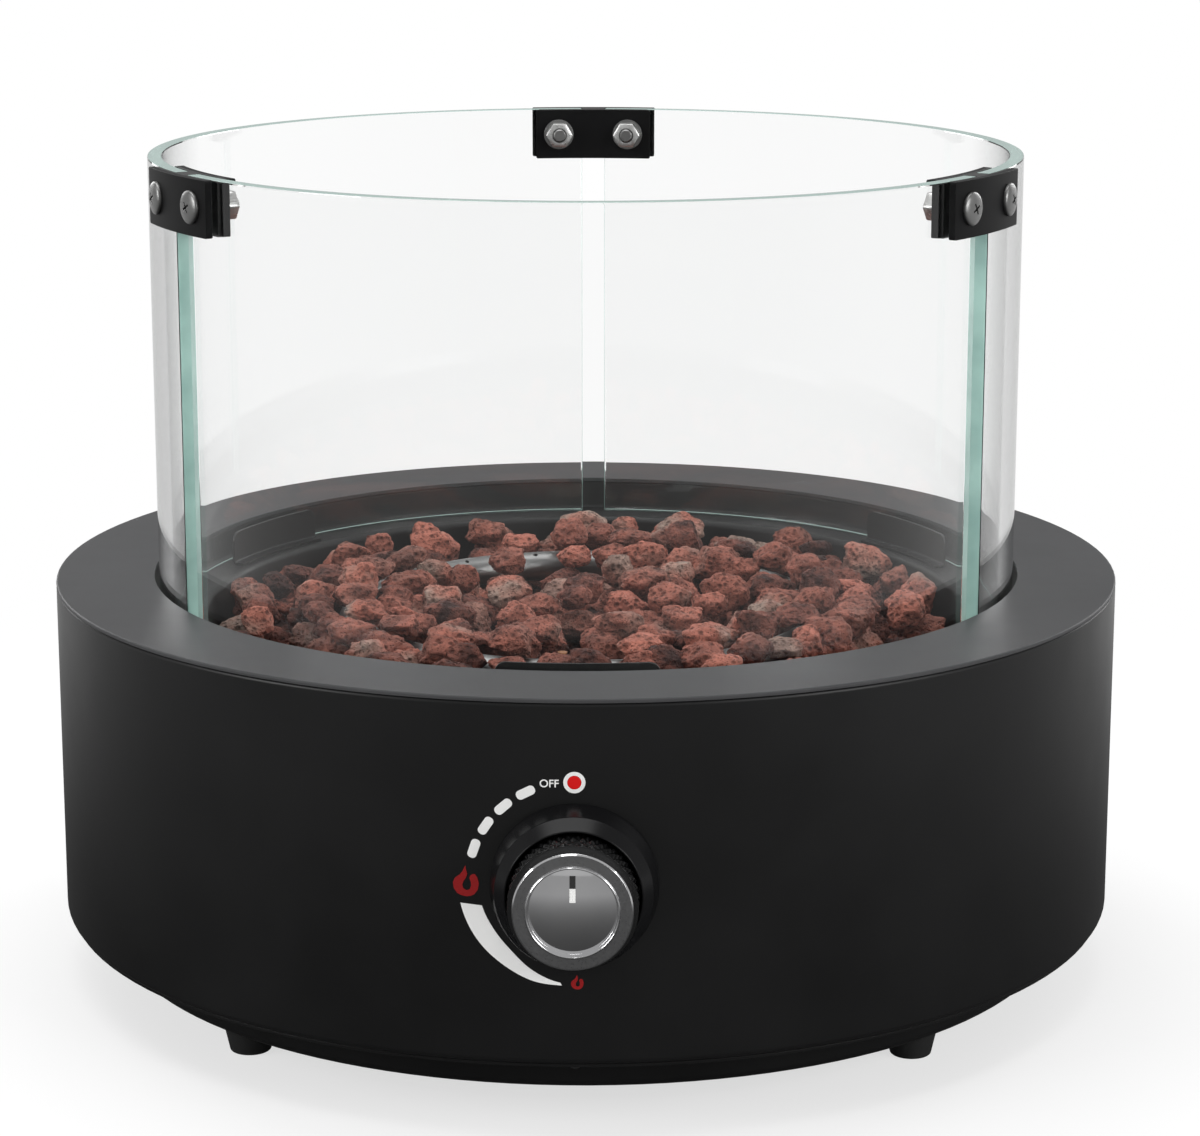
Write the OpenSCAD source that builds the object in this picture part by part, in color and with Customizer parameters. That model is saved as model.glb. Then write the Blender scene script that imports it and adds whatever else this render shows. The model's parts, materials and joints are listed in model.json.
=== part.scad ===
// Tabletop gas fire pit: a round powder-coated drum on four feet. A pressed bowl of lava
// stones and a ring burner hang from its top ring, a three-panel glass guard lifts out of
// the bowl's ledge, and a push-and-turn knob on the front works the gas valve inside.
// Millimetres, +Z up. The origin is on the table, on the drum's axis, and the knob is at -Y.

/* [Drum] */
// Outside diameter of the drum
body_d = 450; // [440:1:480]
// Height of the rolled wall
wall_h = 141; // [136:1:160]
// Thickness of the wall's sheet
sheet_t = 1.2; // [0.8:0.1:2]
// Width of the lips turned in at the wall's two edges
lip_w = 14; // [12:1:18]
// Bend radius of the sheet parts
bend_r = 1.5; // [1:0.1:2]
// Width of the top ring
ring_w = 41; // [38:0.5:43]
// Thickness of the top ring
ring_t = 1.5; // [1.2:0.1:3]
// Rounding of the top ring's outer edge
ring_round = 0.8; // [0.4:0.1:1.1]
// Radial gap from the glass to the top ring's hole
glass_clear = 2; // [1:0.1:3]
// Studs and nuts round each of the two rows under the top ring
rim_studs = 6; // [4:1:10]

/* [Base pan and feet] */
// Depth of the base pan below the wall
pan_drop = 17; // [14:1:24]
// How far the base pan's floor is set back from the wall
pan_inset = 21; // [20:0.5:29]
// Corner radius round the base pan's floor
pan_corner = 3; // [2:0.5:4]
// Thickness of the base pan's sheet
pan_t = 1.2; // [0.8:0.1:2]
// Number of vent slots in the base pan
vent_count = 16; // [8:1:20]
// Width of a vent slot
vent_w = 6; // [4:0.5:8]
// Length of a vent slot
vent_len = 44; // [24:1:60]
// Radius of the circle through the middles of the slots
vent_ring_r = 118; // [100:1:130]
// Screws that hold the base pan
base_screw_count = 6; // [4:1:10]
// Height of a foot
foot_h = 12; // [8:1:20]
// Foot diameter at the table
foot_d_low = 16.3; // [14:0.1:20]
// Foot diameter at the base pan
foot_d_top = 21.7; // [18:0.1:24]
// Distance of the feet's middles from the edge of the pan's floor
foot_inset = 16; // [16:1:28]

/* [Fire bowl and stones] */
// Depth of the ledge that the glass stands on, below the top of the ring
seat_drop = 14.5; // [12:0.5:18]
// Width of the ledge, from the bowl's riser to its mouth
ledge_w = 23; // [21:0.5:25]
// Depth of the bowl below its ledge
bowl_depth = 62; // [58:1:66]
// How much the bowl's wall draws in from mouth to floor
bowl_draw = 7; // [4:0.5:10]
// Thickness of the bowl's sheet
bowl_t = 1.2; // [0.8:0.1:2]
// Width of the bowl's flange under the top ring
flange_w = 15; // [13:1:16]
// Corner radius round the bowl's floor
floor_corner = 10; // [6:1:14]
// Gap from the glass to the upright face of its retaining tabs
tab_gap = 5; // [3:0.5:7]
// Width of a glass-retaining tab
tab_w = 63; // [50:1:80]
// Corner radius of a glass-retaining tab
tab_corner = 4.5; // [2:0.5:6]
// Depth of the buried stones
bed_h = 41; // [37:1:43]
// Width of the largest stone
stone_d = 25.5; // [20:0.5:25.5]
// Height of the tallest stone
stone_h = 22; // [16:0.5:24]
// Number that the stones' shapes are drawn from
stone_seed = 7; // [1:1:99]

/* [Burner and gas line] */
// Mean radius of the burner ring
burner_r = 100; // [98:0.5:101]
// Diameter of the burner ring's tube
burner_tube_d = 13; // [12:0.5:13.5]
// Height of the burner ring's middle above the bowl's floor
burner_rise = 53; // [51.5:0.5:56]
// Number of gas ports
port_count = 36; // [12:1:48]
// Diameter of a gas port
port_d = 2; // [1.2:0.1:3]
// Drop of the manifold tube from the valve to the mixer's axis
manifold_drop = 17.5; // [17.5:0.5:22]
// Outside diameter of the mixer tube
mixer_d = 18; // [17:0.5:20]
// Outside diameter of the gas tubes
gas_tube_d = 8; // [6:0.5:9]
// Height of the gas inlet above the wall's lower edge
inlet_rise = 19; // [17:0.5:27]
// How far the inlet stands out of the wall
inlet_reach = 33; // [30:0.5:40]
// Diameter of the inlet's outside thread
inlet_thread_d = 15.875; // [12:0.1:17]
// Length of the inlet's outside thread
inlet_thread_len = 15; // [12:0.5:16]

/* [Knob and valve] */
// Height of the knob's axis above the wall's lower edge
knob_rise = 71.25; // [68:0.25:74]
// How far the knob stands out of the wall
knob_reach = 33; // [32:0.5:38]
// Diameter over the knurls of the grip
grip_d = 48.7; // [44:0.1:49]
// Number of knurl ribs round the grip
knurl_count = 72; // [36:1:90]
// Depth of a knurl groove
knurl_depth = 0.6; // [0.3:0.1:0.9]
// Diameter of the bright cap
cap_d = 44.4; // [40:0.1:46]
// Diameter of the cap's dish
dish_d = 35; // [28:0.1:37]
// Depth of the cap's dish
dish_depth = 1.6; // [0.8:0.1:2.4]
// Bezel diameter at the wall
bezel_d = 63; // [60:0.5:70]
// Bezel diameter at its front
bezel_front_d = 58; // [56:0.5:59]
// Height of the bezel
bezel_h = 12; // [9:0.5:14]
// Travel of the knob when it is pushed
push_travel = 4; // [2:0.5:4]
// Diameter of the valve's stem
stem_d = 6; // [5:0.5:7]

/* [Glass guard] */
// Thickness of the glass
glass_t = 6; // [5:0.5:6.5]
// Height of the glass panels
glass_h = 191.5; // [150:0.5:220]
// Gap between two panels
panel_gap = 11; // [8:0.5:14]
// Height of a clamp
clamp_h = 22.5; // [18:0.5:28]
// Width of a clamp's outer plate
clamp_w = 57; // [52:0.5:64]
// Thickness of a clamp plate
clamp_t = 2.5; // [2:0.1:3]
// Thickness of a clamp gasket
gasket_t = 1.5; // [1:0.1:2]
// Spacing of the two screws of a clamp
clamp_screw_gap = 34; // [30:0.5:38]
// Diameter of the clamp screws
clamp_screw_d = 6; // [5:0.5:6]
// Diameter of a clamp screw's head
clamp_head_d = 13.3; // [11:0.1:15]

/* [Hidden] */
$fn = 96;
STEPS = 6;                 // chords in each bend of a pressed profile
SEAMS = [90, 210, 330];    // where the glass panels meet, and the clamps sit
TAB_ANGLES = [30, 150, 270];
SEAT = 0.1;                // gap between rounded faces that seat on each other
SLIP = 0.3;                // gap where a piece drops into another
RUN = 0.05;                // radial clearance of a running fit

body_r = body_d / 2;
wall_z0 = foot_h + pan_drop;
wall_z1 = wall_z0 + wall_h;
ring_z1 = wall_z1 + ring_t;
inner_r = body_r - sheet_t;
lip_row_r = body_r - lip_w / 2 - 0.5;   // screws and studs through the lips
ring_hole_r = body_r - ring_w;
glass_r = ring_hole_r - glass_clear;
seat_z = ring_z1 - seat_drop;
riser_r = ring_hole_r + 1;
mouth_r = riser_r - ledge_w;
tab_r = glass_r - glass_t - tab_gap;
tab_foot = 5.5;
pan_r = body_r - pan_inset;
foot_ring_r = pan_r - foot_inset;
flange_r = riser_r + flange_w;
flange_row_r = riser_r + flange_w / 2 + bowl_t / 2;
floor_z = seat_z - bowl_depth;
floor_low = floor_z - bowl_t;
floor_r = mouth_r - bowl_draw;
glass_z0 = seat_z + SEAT;
glass_z1 = glass_z0 + glass_h;

stud_d = 4;
nut_h = 3.2;
nut_af = 7;
pan_flange_r = body_r - 2;
small_head_d = 7;
small_head_h = 2.4;

bed_z1 = floor_z + bed_h;
burner_z = floor_z + burner_rise;
burner_tube_r = burner_tube_d / 2;
feed_r = 7;
leg_r = 4;
leg_angles = [210, 330];
port_tilt = 25;
pilot_x = 8;
pilot_y = -(burner_r - burner_tube_r - 9);
electrode_r = 3;
probe_r = 2;
bed_gap = 0.5;

knob_z = wall_z0 + knob_rise;
inlet_z = wall_z0 + inlet_rise;
mixer_r = mixer_d / 2;
mixer_wall = 1.5;
mixer_y0 = -62;
mixer_head_r = 13;
mixer_head_len = 26;
mixer_bend = 16;
mixer_top = floor_low - 9.5;
socket_len = 8;
tube_r = gas_tube_d / 2;
tube_nut_af = 13;
tube_nut_h = 8;
tube_bend = 9;

plate_t = 1.5;
plate_back = inner_r - 9.8;             // the valve bracket's flat back, from the drum's axis
barrel_r = 13;
barrel_len = 30;
barrel_back = plate_back - barrel_len;
boss_r = 6;
boss_len = 8;
outlet_at = barrel_back + 7;
inlet_at = barrel_back + 22;
boss_low = knob_z - barrel_r - boss_len;
mixer_z = boss_low - manifold_drop;
flange_half = 14;                       // half width of the valve's front flange
flange_tall = 18;
nose_r = 8;
nose_end = inner_r - 2.8;
sleeve_r = 5;
sleeve_back = nose_end - 13;
sleeve_front = nose_end + 5;
stem_r = stem_d / 2;
bezel_plate_t = 2.2;
bezel_screw_x = 17;
bezel_screw_r = 2;
knob_front = body_r + knob_reach;
cap_h = 7.5;
grip_front = knob_front - cap_h + 2;
grip_back = body_r + bezel_plate_t + push_travel + 0.5;
hub_r = 8;
knob_hole_r = hub_r + 1;
lead_r = 1.25;
lead_y = -(barrel_back - 9);
lead_z = floor_low - 14;

shield_r = mouth_r + 9;
hatch_hex_af = 22;
inlet_front = body_r + inlet_reach;
fitting_back = inner_r - 18.8;

outer_plate_r = glass_r + gasket_t;
inner_plate_r = glass_r - glass_t - gasket_t;
screw_rise = clamp_h / 2;
screw_z = glass_z1 - screw_rise;
screw_turn = asin(clamp_screw_gap / 2 / glass_r);
outer_turn = asin(clamp_w / 2 / outer_plate_r);
inner_turn = asin((clamp_w - 4) / 2 / inner_plate_r);
gap_turn = asin(panel_gap / 2 / glass_r);
clamp_nut_af = 11;
clamp_nut_h = 5.5;
clamp_head_h = 4;
clamp_corner = 0.8;
clamp_screw_end = 1.5;                  // how far a clamp screw stands out of its nut
washer_t = 1.2;
washer_r = 6.85;
washer_seat = sqrt(pow(inner_plate_r - clamp_t, 2) - washer_r * washer_r);

// ---- Flat profiles of bent sheet ----

function unit(v) = v / norm(v);
function left(v) = [-v[1], v[0]];
function turned(v, a) = [v[0] * cos(a) - v[1] * sin(a), v[0] * sin(a) + v[1] * cos(a)];
function xy(row) = [row[0], row[1]];

// The arc that rounds the corner b between a and c
function bend(a, b, c, rad) =
    let (u = unit(b - a), v = unit(c - b))
    let (turn = atan2(u[0] * v[1] - u[1] * v[0], u * v), side = sign(turn))
    let (centre = b - u * rad * tan(abs(turn) / 2) + side * rad * left(u))
    [for (i = [0:STEPS]) centre + turned(-side * rad * left(u), turn * i / STEPS)];

// A line through rows of [radius, height, bend radius], with its corners rounded
function rounded(rows) =
    let (last = len(rows) - 1)
    [for (i = [0:last]) each
        i == 0 || i == last || rows[i][2] == 0 ? [xy(rows[i])]
        : bend(xy(rows[i - 1]), xy(rows[i]), xy(rows[i + 1]), rows[i][2])];

// The same line moved t to its left, mitred at each point
function moved(line, t) =
    let (last = len(line) - 1)
    [for (i = [0:last])
        let (u = unit(line[max(i, 1)] - line[max(i, 1) - 1]))
        let (v = unit(line[min(i, last - 1) + 1] - line[min(i, last - 1)]))
        let (n = unit(left(u) + left(v)))
        line[i] + n * t / (n * left(u))];

function reversed(list) = [for (i = [len(list) - 1:-1:0]) list[i]];

// A pressed or rolled sheet of thickness t to the left of the line
module sheet(rows, t) {
    line = rounded(rows);
    polygon(concat(line, reversed(moved(line, t))));
}

// ---- Shared shapes ----

module ring_of(count, r, start = 0) {
    for (i = [0:count - 1]) rotate(start + i * 360 / count) translate([r, 0, 0]) children();
}

module hex(af, h) {
    cylinder(h = h, r = af / 2 / cos(30), $fn = 6);
}

module hex_nut(af, h, hole_r) {
    difference() {
        hex(af, h);
        translate([0, 0, -1]) cylinder(h = h + 2, r = hole_r);
    }
}

// A band of the circle between two radii, centred on the angle
module arc_band(r0, r1, z0, h, half_turn) {
    rotate(-half_turn) rotate_extrude(angle = 2 * half_turn)
        translate([r0, z0]) square([r1 - r0, h]);
}

// Local +Z points out of the drum: to the front for the knob, to the back for the inlet
module at_knob() {
    translate([0, 0, knob_z]) rotate([90, 0, 0]) children();
}

module at_inlet() {
    translate([0, 0, inlet_z]) rotate([-90, 0, 0]) children();
}

// Local +Z points out of the drum at the angle, at the height z
module radial(angle, z) {
    rotate(angle) translate([0, 0, z]) rotate([0, 90, 0]) children();
}

// One rod between two points
module rod(a, b, r) {
    d = b - a;
    tilt = acos(d[2] / norm(d));
    translate(a) rotate([0, tilt, atan2(d[1], d[0])]) cylinder(h = norm(d), r = r, $fn = 32);
}

// The quarter or part turn of a tube at b, coming from a and going to c
module elbow(a, b, c, r, rad) {
    u = unit(b - a);
    v = unit(c - b);
    turn = acos(u * v);
    n = unit(v - (u * v) * u);
    centre = b - u * rad * tan(turn / 2) + n * rad;
    x = -n;
    z = cross(x, u);
    multmatrix([
        [x[0], u[0], z[0], centre[0]],
        [x[1], u[1], z[1], centre[1]],
        [x[2], u[2], z[2], centre[2]],
        [0, 0, 0, 1]
    ]) rotate_extrude(angle = turn) translate([rad, 0]) circle(r = r, $fn = 32);
}

// How far a bend at b eats into its two straight runs
function bite(a, b, c, rad) = rad * tan(acos(unit(b - a) * unit(c - b)) / 2);

// A round rod along a route, with every corner bent to the radius rad
module bent_rod(route, r, rad) {
    last = len(route) - 1;
    cut = [for (i = [0:last]) i == 0 || i == last ? 0
        : bite(route[i - 1], route[i], route[i + 1], rad)];
    for (i = [0:last - 1]) {
        u = unit(route[i + 1] - route[i]);
        rod(route[i] + u * cut[i], route[i + 1] - u * cut[i + 1], r);
    }
    for (i = [1:last - 1]) elbow(route[i - 1], route[i], route[i + 1], r, rad);
}

// ---- Drum ----

module body_shell() {
    color("#232323") difference() {
        rotate_extrude($fn = 180) sheet([
            [body_r - lip_w, wall_z0, 0],
            [body_r, wall_z0, bend_r + sheet_t],
            [body_r, wall_z1, bend_r],
            [body_r - lip_w, wall_z1, 0]
        ], sheet_t);
        at_knob() translate([0, 0, body_r - 20]) cylinder(h = 40, r = knob_hole_r);
        at_knob() bezel_screw_holes();
        at_inlet() translate([0, 0, body_r - 20])
            cylinder(h = 40, r = inlet_thread_d / 2 + SLIP);
        ring_of(base_screw_count, lip_row_r, 30) translate([0, 0, wall_z0 - 1])
            cylinder(h = 5, r = stud_d / 2 + SLIP);
        ring_of(rim_studs, lip_row_r) translate([0, 0, wall_z1 - sheet_t - 1])
            cylinder(h = 5, r = stud_d / 2 + SLIP);
    }
}

module bezel_screw_holes() {
    for (x = [-bezel_screw_x, bezel_screw_x])
        translate([x, 0, body_r - 20]) cylinder(h = 40, r = bezel_screw_r + SLIP / 2);
}

// The flat ring on top, with weld studs for the wall's lip and the bowl's flange
module top_ring() {
    color("#4c4c4c") {
        rotate_extrude($fn = 180) polygon(rounded([
            [ring_hole_r, wall_z1, 0],
            [body_r, wall_z1, 0],
            [body_r, ring_z1, ring_round],
            [ring_hole_r, ring_z1, 0]
        ]));
        ring_of(rim_studs, lip_row_r) rim_stud();
        ring_of(rim_studs, flange_row_r, 180 / rim_studs) rim_stud();
    }
}

module rim_stud() {
    translate([0, 0, wall_z1 - 8]) cylinder(h = 8 + ring_t / 2, r = stud_d / 2);
}

module rim_nuts() {
    color("silver") {
        ring_of(rim_studs, lip_row_r) translate([0, 0, wall_z1 - sheet_t - nut_h])
            hex_nut(nut_af, nut_h, stud_d / 2);
        ring_of(rim_studs, flange_row_r, 180 / rim_studs)
            translate([0, 0, wall_z1 - bowl_t - nut_h]) hex_nut(nut_af, nut_h, stud_d / 2);
    }
}

// ---- Base ----

module base_pan() {
    color("#1e1e1e") difference() {
        rotate_extrude($fn = 180) sheet([
            [0, foot_h, 0],
            [pan_r, foot_h, pan_corner],
            [pan_r, wall_z0 - pan_t, bend_r],
            [pan_flange_r, wall_z0 - pan_t, 0]
        ], pan_t);
        ring_of(vent_count, vent_ring_r, 180 / vent_count) vent_slot();
        ring_of(base_screw_count, lip_row_r, 30) translate([0, 0, wall_z0 - 5])
            cylinder(h = 10, r = stud_d / 2 + SLIP);
        ring_of(4, foot_ring_r, 45) translate([0, 0, foot_h - 1])
            cylinder(h = 5, r = stud_d / 2 + SLIP);
    }
}

module vent_slot() {
    run = vent_len - vent_w;
    translate([0, 0, foot_h - 1]) {
        translate([-run / 2, -vent_w / 2, 0]) cube([run, vent_w, pan_t + 2]);
        for (x = [-run / 2, run / 2]) translate([x, 0, 0]) cylinder(h = pan_t + 2, d = vent_w);
    }
}

module base_screws() {
    color("silver") ring_of(base_screw_count, lip_row_r, 30)
        translate([0, 0, wall_z0 - pan_t]) {
            rotate([180, 0, 0]) low_head(small_head_d, small_head_h);
            cylinder(h = pan_t + sheet_t + 4, r = stud_d / 2);
        }
}

// A low domed screw head on the XY plane, rising along +Z
module low_head(d, h) {
    ball_r = (d * d / 4 + h * h) / (2 * h);
    intersection() {
        cylinder(h = h, d = d);
        translate([0, 0, h - ball_r]) sphere(r = ball_r);
    }
}

module feet() {
    color("#151515") ring_of(4, foot_ring_r, 45) difference() {
        rotate_extrude() polygon(concat([[0, 0]], rounded([
            [0, 0, 0],
            [foot_d_low / 2, 0, 1.2],
            [foot_d_top / 2, foot_h, 0],
            [0, foot_h, 0]
        ])));
        translate([0, 0, -1]) cylinder(h = foot_h / 2 + 1, r = small_head_d / 2 + 0.5);
        cylinder(h = foot_h + 1, r = stud_d / 2 + SLIP / 2);
    }
}

module foot_screws() {
    color("silver") ring_of(4, foot_ring_r, 45) translate([0, 0, foot_h / 2]) {
        rotate([180, 0, 0]) low_head(small_head_d, small_head_h);
        cylinder(h = foot_h / 2 + pan_t + nut_h + 1, r = stud_d / 2);
    }
}

module foot_nuts() {
    color("silver") ring_of(4, foot_ring_r, 45) translate([0, 0, foot_h + pan_t])
        hex_nut(nut_af, nut_h, stud_d / 2);
}

// ---- Fire bowl ----

module fire_bowl() {
    color("#1a1a1a") difference() {
        rotate_extrude($fn = 180) sheet([
            [flange_r, wall_z1, 0],
            [riser_r, wall_z1, bend_r],
            [riser_r, seat_z, bend_r],
            [mouth_r, seat_z, 3],
            [floor_r, floor_z, floor_corner],
            [0, floor_z, 0]
        ], bowl_t);
        ring_of(rim_studs, flange_row_r, 180 / rim_studs) translate([0, 0, wall_z1 - bowl_t - 1])
            cylinder(h = 5, r = stud_d / 2 + SLIP);
        translate([0, burner_r, floor_low - 1]) cylinder(h = bowl_t + 2, r = feed_r + SLIP);
        for (a = leg_angles) rotate(a) translate([burner_r, 0, floor_low - 1])
            cylinder(h = bowl_t + 2, r = stud_d / 2 + SLIP);
        translate([pilot_x, pilot_y, floor_low - 1])
            cylinder(h = bowl_t + 2, r = electrode_r + SLIP);
        translate([-pilot_x, pilot_y, floor_low - 1])
            cylinder(h = bowl_t + 2, r = probe_r + SLIP);
    }
}

// Three curved tabs on the ledge that keep the glass out of the stones
module glass_tabs() {
    half = asin(tab_w / 2 / tab_r);
    color("#161616") for (a = TAB_ANGLES) rotate(a) intersection() {
        rotate(-half) rotate_extrude(angle = 2 * half) sheet([
            [tab_r - tab_foot, seat_z + bowl_t, 0],
            [tab_r - bowl_t, seat_z + bowl_t, 0.8],
            [tab_r - bowl_t, ring_z1, 0]
        ], -bowl_t);
        translate([tab_r - 30, 0, 0]) rotate([90, 0, 90]) linear_extrude(60)
            tab_outline();
    }
}

module tab_outline() {
    x = tab_w / 2 - tab_corner;
    for (side = [-x, x]) translate([side, ring_z1 - tab_corner]) circle(r = tab_corner);
    translate([-tab_w / 2, 0]) square([tab_w, ring_z1 - tab_corner]);
    translate([-x, 0]) square([2 * x, ring_z1]);
}

// The stones that lie buried under the top layer, up to its seat
module lava_bed() {
    wall_in = bowl_draw * (bowl_depth - bed_h) / bowl_depth;
    color("#5a2f27") difference() {
        rotate_extrude($fn = 120) polygon(rounded([
            [0, floor_z + SEAT, 0],
            [floor_r - SLIP, floor_z + SEAT, floor_corner],
            [mouth_r - wall_in - SLIP, bed_z1, 0],
            [0, bed_z1, 0]
        ]));
        translate([0, burner_r, floor_z - 1]) cylinder(h = bed_h + 5, r = feed_r + 2.5);
        for (a = leg_angles) rotate(a) translate([burner_r, 0, floor_z - 1])
            cylinder(h = bed_h + 5, r = leg_r + bed_gap);
        translate([pilot_x, pilot_y, floor_z - 1])
            cylinder(h = bed_h + 5, r = electrode_r + bed_gap);
        translate([-pilot_x, pilot_y, floor_z - 1])
            cylinder(h = bed_h + 5, r = probe_r + bed_gap);
    }
}

// The top layer of stones: concentric rows inside and outside the burner ring, and a row
// that lies on the ring itself. A stone is three rings of points over a flat seat.
STONE_SIDES = 7;
STONE_LEVELS = [[0, 0.72], [0.38, 0.98], [0.82, 0.64]];   // share of its height and radius
stone_r = stone_d / 2;
row_pitch = 25.6;
outer_row_pitch = 27.2;

function row_count(r, pitch) = r == 0 ? 1 : floor(2 * PI * r / pitch);
function row_spots(r, pitch, z) =
    let (n = row_count(r, pitch), start = 360 * rands(0, 1, 1, stone_seed + r)[0])
    [for (i = [0:n - 1]) [r * cos(start + i * 360 / n), r * sin(start + i * 360 / n), z]];

function clear_of_pilot(p) = norm([p[0], p[1] - pilot_y]) > stone_r + pilot_x + electrode_r;

inner_rows = [for (r = [0:row_pitch:burner_r - burner_tube_r - stone_r]) r];
outer_first = burner_r + burner_tube_r + stone_r + 1;
outer_rows = [for (r = [outer_first:row_pitch:floor_r - SLIP - stone_r + 4]) r];
bed_spots = [for (p = concat(
        [for (r = inner_rows) each row_spots(r, row_pitch + 0.6, bed_z1)],
        [for (r = outer_rows) each row_spots(r, outer_row_pitch, bed_z1)]))
    if (clear_of_pilot(p)) p];
// Most of the ring is covered: bare stretches show at the back left and at the pilot
ring_stone_r = stone_r - 1.5;
ring_stone_h = 0.75 * stone_h;
ring_step = 15.5;
ring_spots = [for (a = [145:ring_step:460])
    let (p = [burner_r * cos(a), burner_r * sin(a), burner_z + burner_tube_r])
    if (clear_of_pilot(p)) p];

function stone_points(z, r, h, k) =
    let (size = rands(0.88, 1, 3 * STONE_SIDES, stone_seed + 13 * k))
    let (start = rands(0, 360, 1, 5 * k + 1)[0])
    [for (level = [0:2], i = [0:STONE_SIDES - 1])
        let (a = start + (i + level / 2) * 360 / STONE_SIDES)
        let (reach = r * STONE_LEVELS[level][1] * size[level * STONE_SIDES + i])
        [reach * cos(a), reach * sin(a), z + h * STONE_LEVELS[level][0]]];

STONE_FACES = concat(
    [[for (i = [0:STONE_SIDES - 1]) i]],
    [for (level = [0:1], i = [0:STONE_SIDES - 1])
        let (n = (i + 1) % STONE_SIDES, low = level * STONE_SIDES, top = low + STONE_SIDES)
        each [[low + i, top + i, low + n], [low + n, top + i, top + n]]],
    [for (i = [0:STONE_SIDES - 1])
        [2 * STONE_SIDES + i, 3 * STONE_SIDES, 2 * STONE_SIDES + (i + 1) % STONE_SIDES]]);

module stone(spot, r, h, k) {
    points = concat(stone_points(0, r, h, k), [[0, 0, h]]);
    translate(spot) polyhedron(points = points, faces = STONE_FACES);
}

module lava_stones() {
    heights = rands(0.62, 1, len(bed_spots) + len(ring_spots), stone_seed);
    color("#8f4a3c") {
        for (k = [0:len(bed_spots) - 1]) stone(bed_spots[k], stone_r, stone_h * heights[k], k);
        for (k = [0:len(ring_spots) - 1])
            stone(ring_spots[k], ring_stone_r, ring_stone_h * heights[k], k + 500);
    }
}

// ---- Burner, mixer and gas line ----

// A rolled tube ring with its feed pipe at the back and two welded legs
module burner_ring() {
    color("#b9b9b5") difference() {
        union() {
            translate([0, 0, burner_z]) rotate_extrude() translate([burner_r, 0])
                circle(r = burner_tube_r, $fn = 48);
            translate([0, burner_r, mixer_top - socket_len])
                cylinder(h = burner_z - mixer_top + socket_len, r = feed_r - 1);
            translate([0, burner_r, floor_low - 9]) cylinder(h = 9 + bowl_t, r = feed_r);
            translate([0, burner_r, floor_z]) cylinder(h = 4, r = feed_r + 2);
            for (a = leg_angles) rotate(a) translate([burner_r, 0, floor_z])
                cylinder(h = burner_rise, r = leg_r);
        }
        for (i = [0:port_count - 1]) rotate((i + 0.5) * 360 / port_count)
            translate([burner_r, 0, burner_z]) rotate([0, -port_tilt, 0])
                translate([0, 0, burner_tube_r - 2]) cylinder(h = 4, d = port_d, $fn = 24);
        for (a = leg_angles) rotate(a) translate([burner_r, 0, floor_z - 1])
            cylinder(h = 11, r = stud_d / 2);
        translate([0, burner_r, mixer_top - socket_len - 1])
            cylinder(h = 60, r = feed_r - 2.5);
    }
}

module burner_nut() {
    color("#c9a45a") translate([0, burner_r, floor_low - 6]) hex_nut(hatch_hex_af, 6, feed_r);
}

module burner_screws() {
    color("silver") for (a = leg_angles) rotate(a) translate([burner_r, 0, floor_low]) {
        rotate([180, 0, 0]) low_head(small_head_d, small_head_h);
        cylinder(h = bowl_t + 9, r = stud_d / 2);
    }
}

// The mixer: an air head with windows round the jet, a throat, and a bend up to the burner
module mixer_tube() {
    throat = mixer_head_len + 10;
    run = mixer_head_len + 20;
    color("#a9a9a6") difference() {
        union() {
            mixer_pipe(mixer_r, run, 0);
            at_mixer() rotate_extrude() polygon([
                [0, 0], [mixer_head_r, 0], [mixer_head_r, mixer_head_len],
                [mixer_r - 1, throat], [mixer_r, run], [0, run]
            ]);
        }
        mixer_pipe(mixer_r - mixer_wall, run, 1);
        at_mixer() rotate_extrude() polygon([
            [0, 2], [mixer_head_r - mixer_wall, 2], [mixer_head_r - mixer_wall, mixer_head_len],
            [mixer_r - mixer_wall - 1, throat], [mixer_r - mixer_wall, run], [0, run]
        ]);
        at_mixer() translate([0, 0, -1]) cylinder(h = 4, r = tube_r);
        for (a = [0:90:270]) translate([0, mixer_y0 + 12, mixer_z]) rotate([0, a + 45, 0])
            translate([0, 0, mixer_head_r - 3]) air_window();
    }
}

// Local +Z runs along the mixer from its air head
module at_mixer() {
    translate([0, mixer_y0, mixer_z]) rotate([-90, 0, 0]) children();
}

module mixer_pipe(r, run, past) {
    bent_rod([
        [0, mixer_y0 + run, mixer_z],
        [0, burner_r, mixer_z],
        [0, burner_r, mixer_top + past]
    ], r, mixer_bend);
}

module air_window() {
    for (y = [-4, 4]) translate([0, y, 0]) cylinder(h = 6, r = 4, $fn = 32);
    translate([-4, -4, 0]) cube([8, 8, 6]);
}

// The brass jet screwed into the mixer's end wall, with its hex outside
module orifice_jet() {
    color("#c9a45a") translate([0, mixer_y0, mixer_z]) rotate([-90, 0, 0]) difference() {
        union() {
            translate([0, 0, -8]) hex(tube_nut_af, 8);
            cylinder(h = 8, r = tube_r);
            translate([0, 0, 8]) cylinder(h = 5, r1 = tube_r, r2 = 1.6);
        }
        translate([0, 0, -1]) cylinder(h = 20, r = 0.6, $fn = 16);
    }
}

manifold_route = [
    [0, -outlet_at, boss_low],
    [0, -outlet_at, mixer_z],
    [0, mixer_y0 - 8, mixer_z]
];

module manifold_tube() {
    color("#c2c2c0") bent_rod(manifold_route, tube_r, tube_bend);
}

module manifold_nut() {
    color("#c9a45a") translate([0, -outlet_at, boss_low - tube_nut_h])
        hex_nut(tube_nut_af, tube_nut_h, tube_r);
}

supply_route = [
    [0, fitting_back, inlet_z],
    [0, fitting_back - 30, inlet_z],
    [-44, fitting_back - 30, inlet_z],
    [-44, -inlet_at, inlet_z],
    [0, -inlet_at, inlet_z],
    [0, -inlet_at, boss_low]
];

module supply_tube() {
    color("#c2c2c0") bent_rod(supply_route, tube_r, tube_bend);
}

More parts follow.
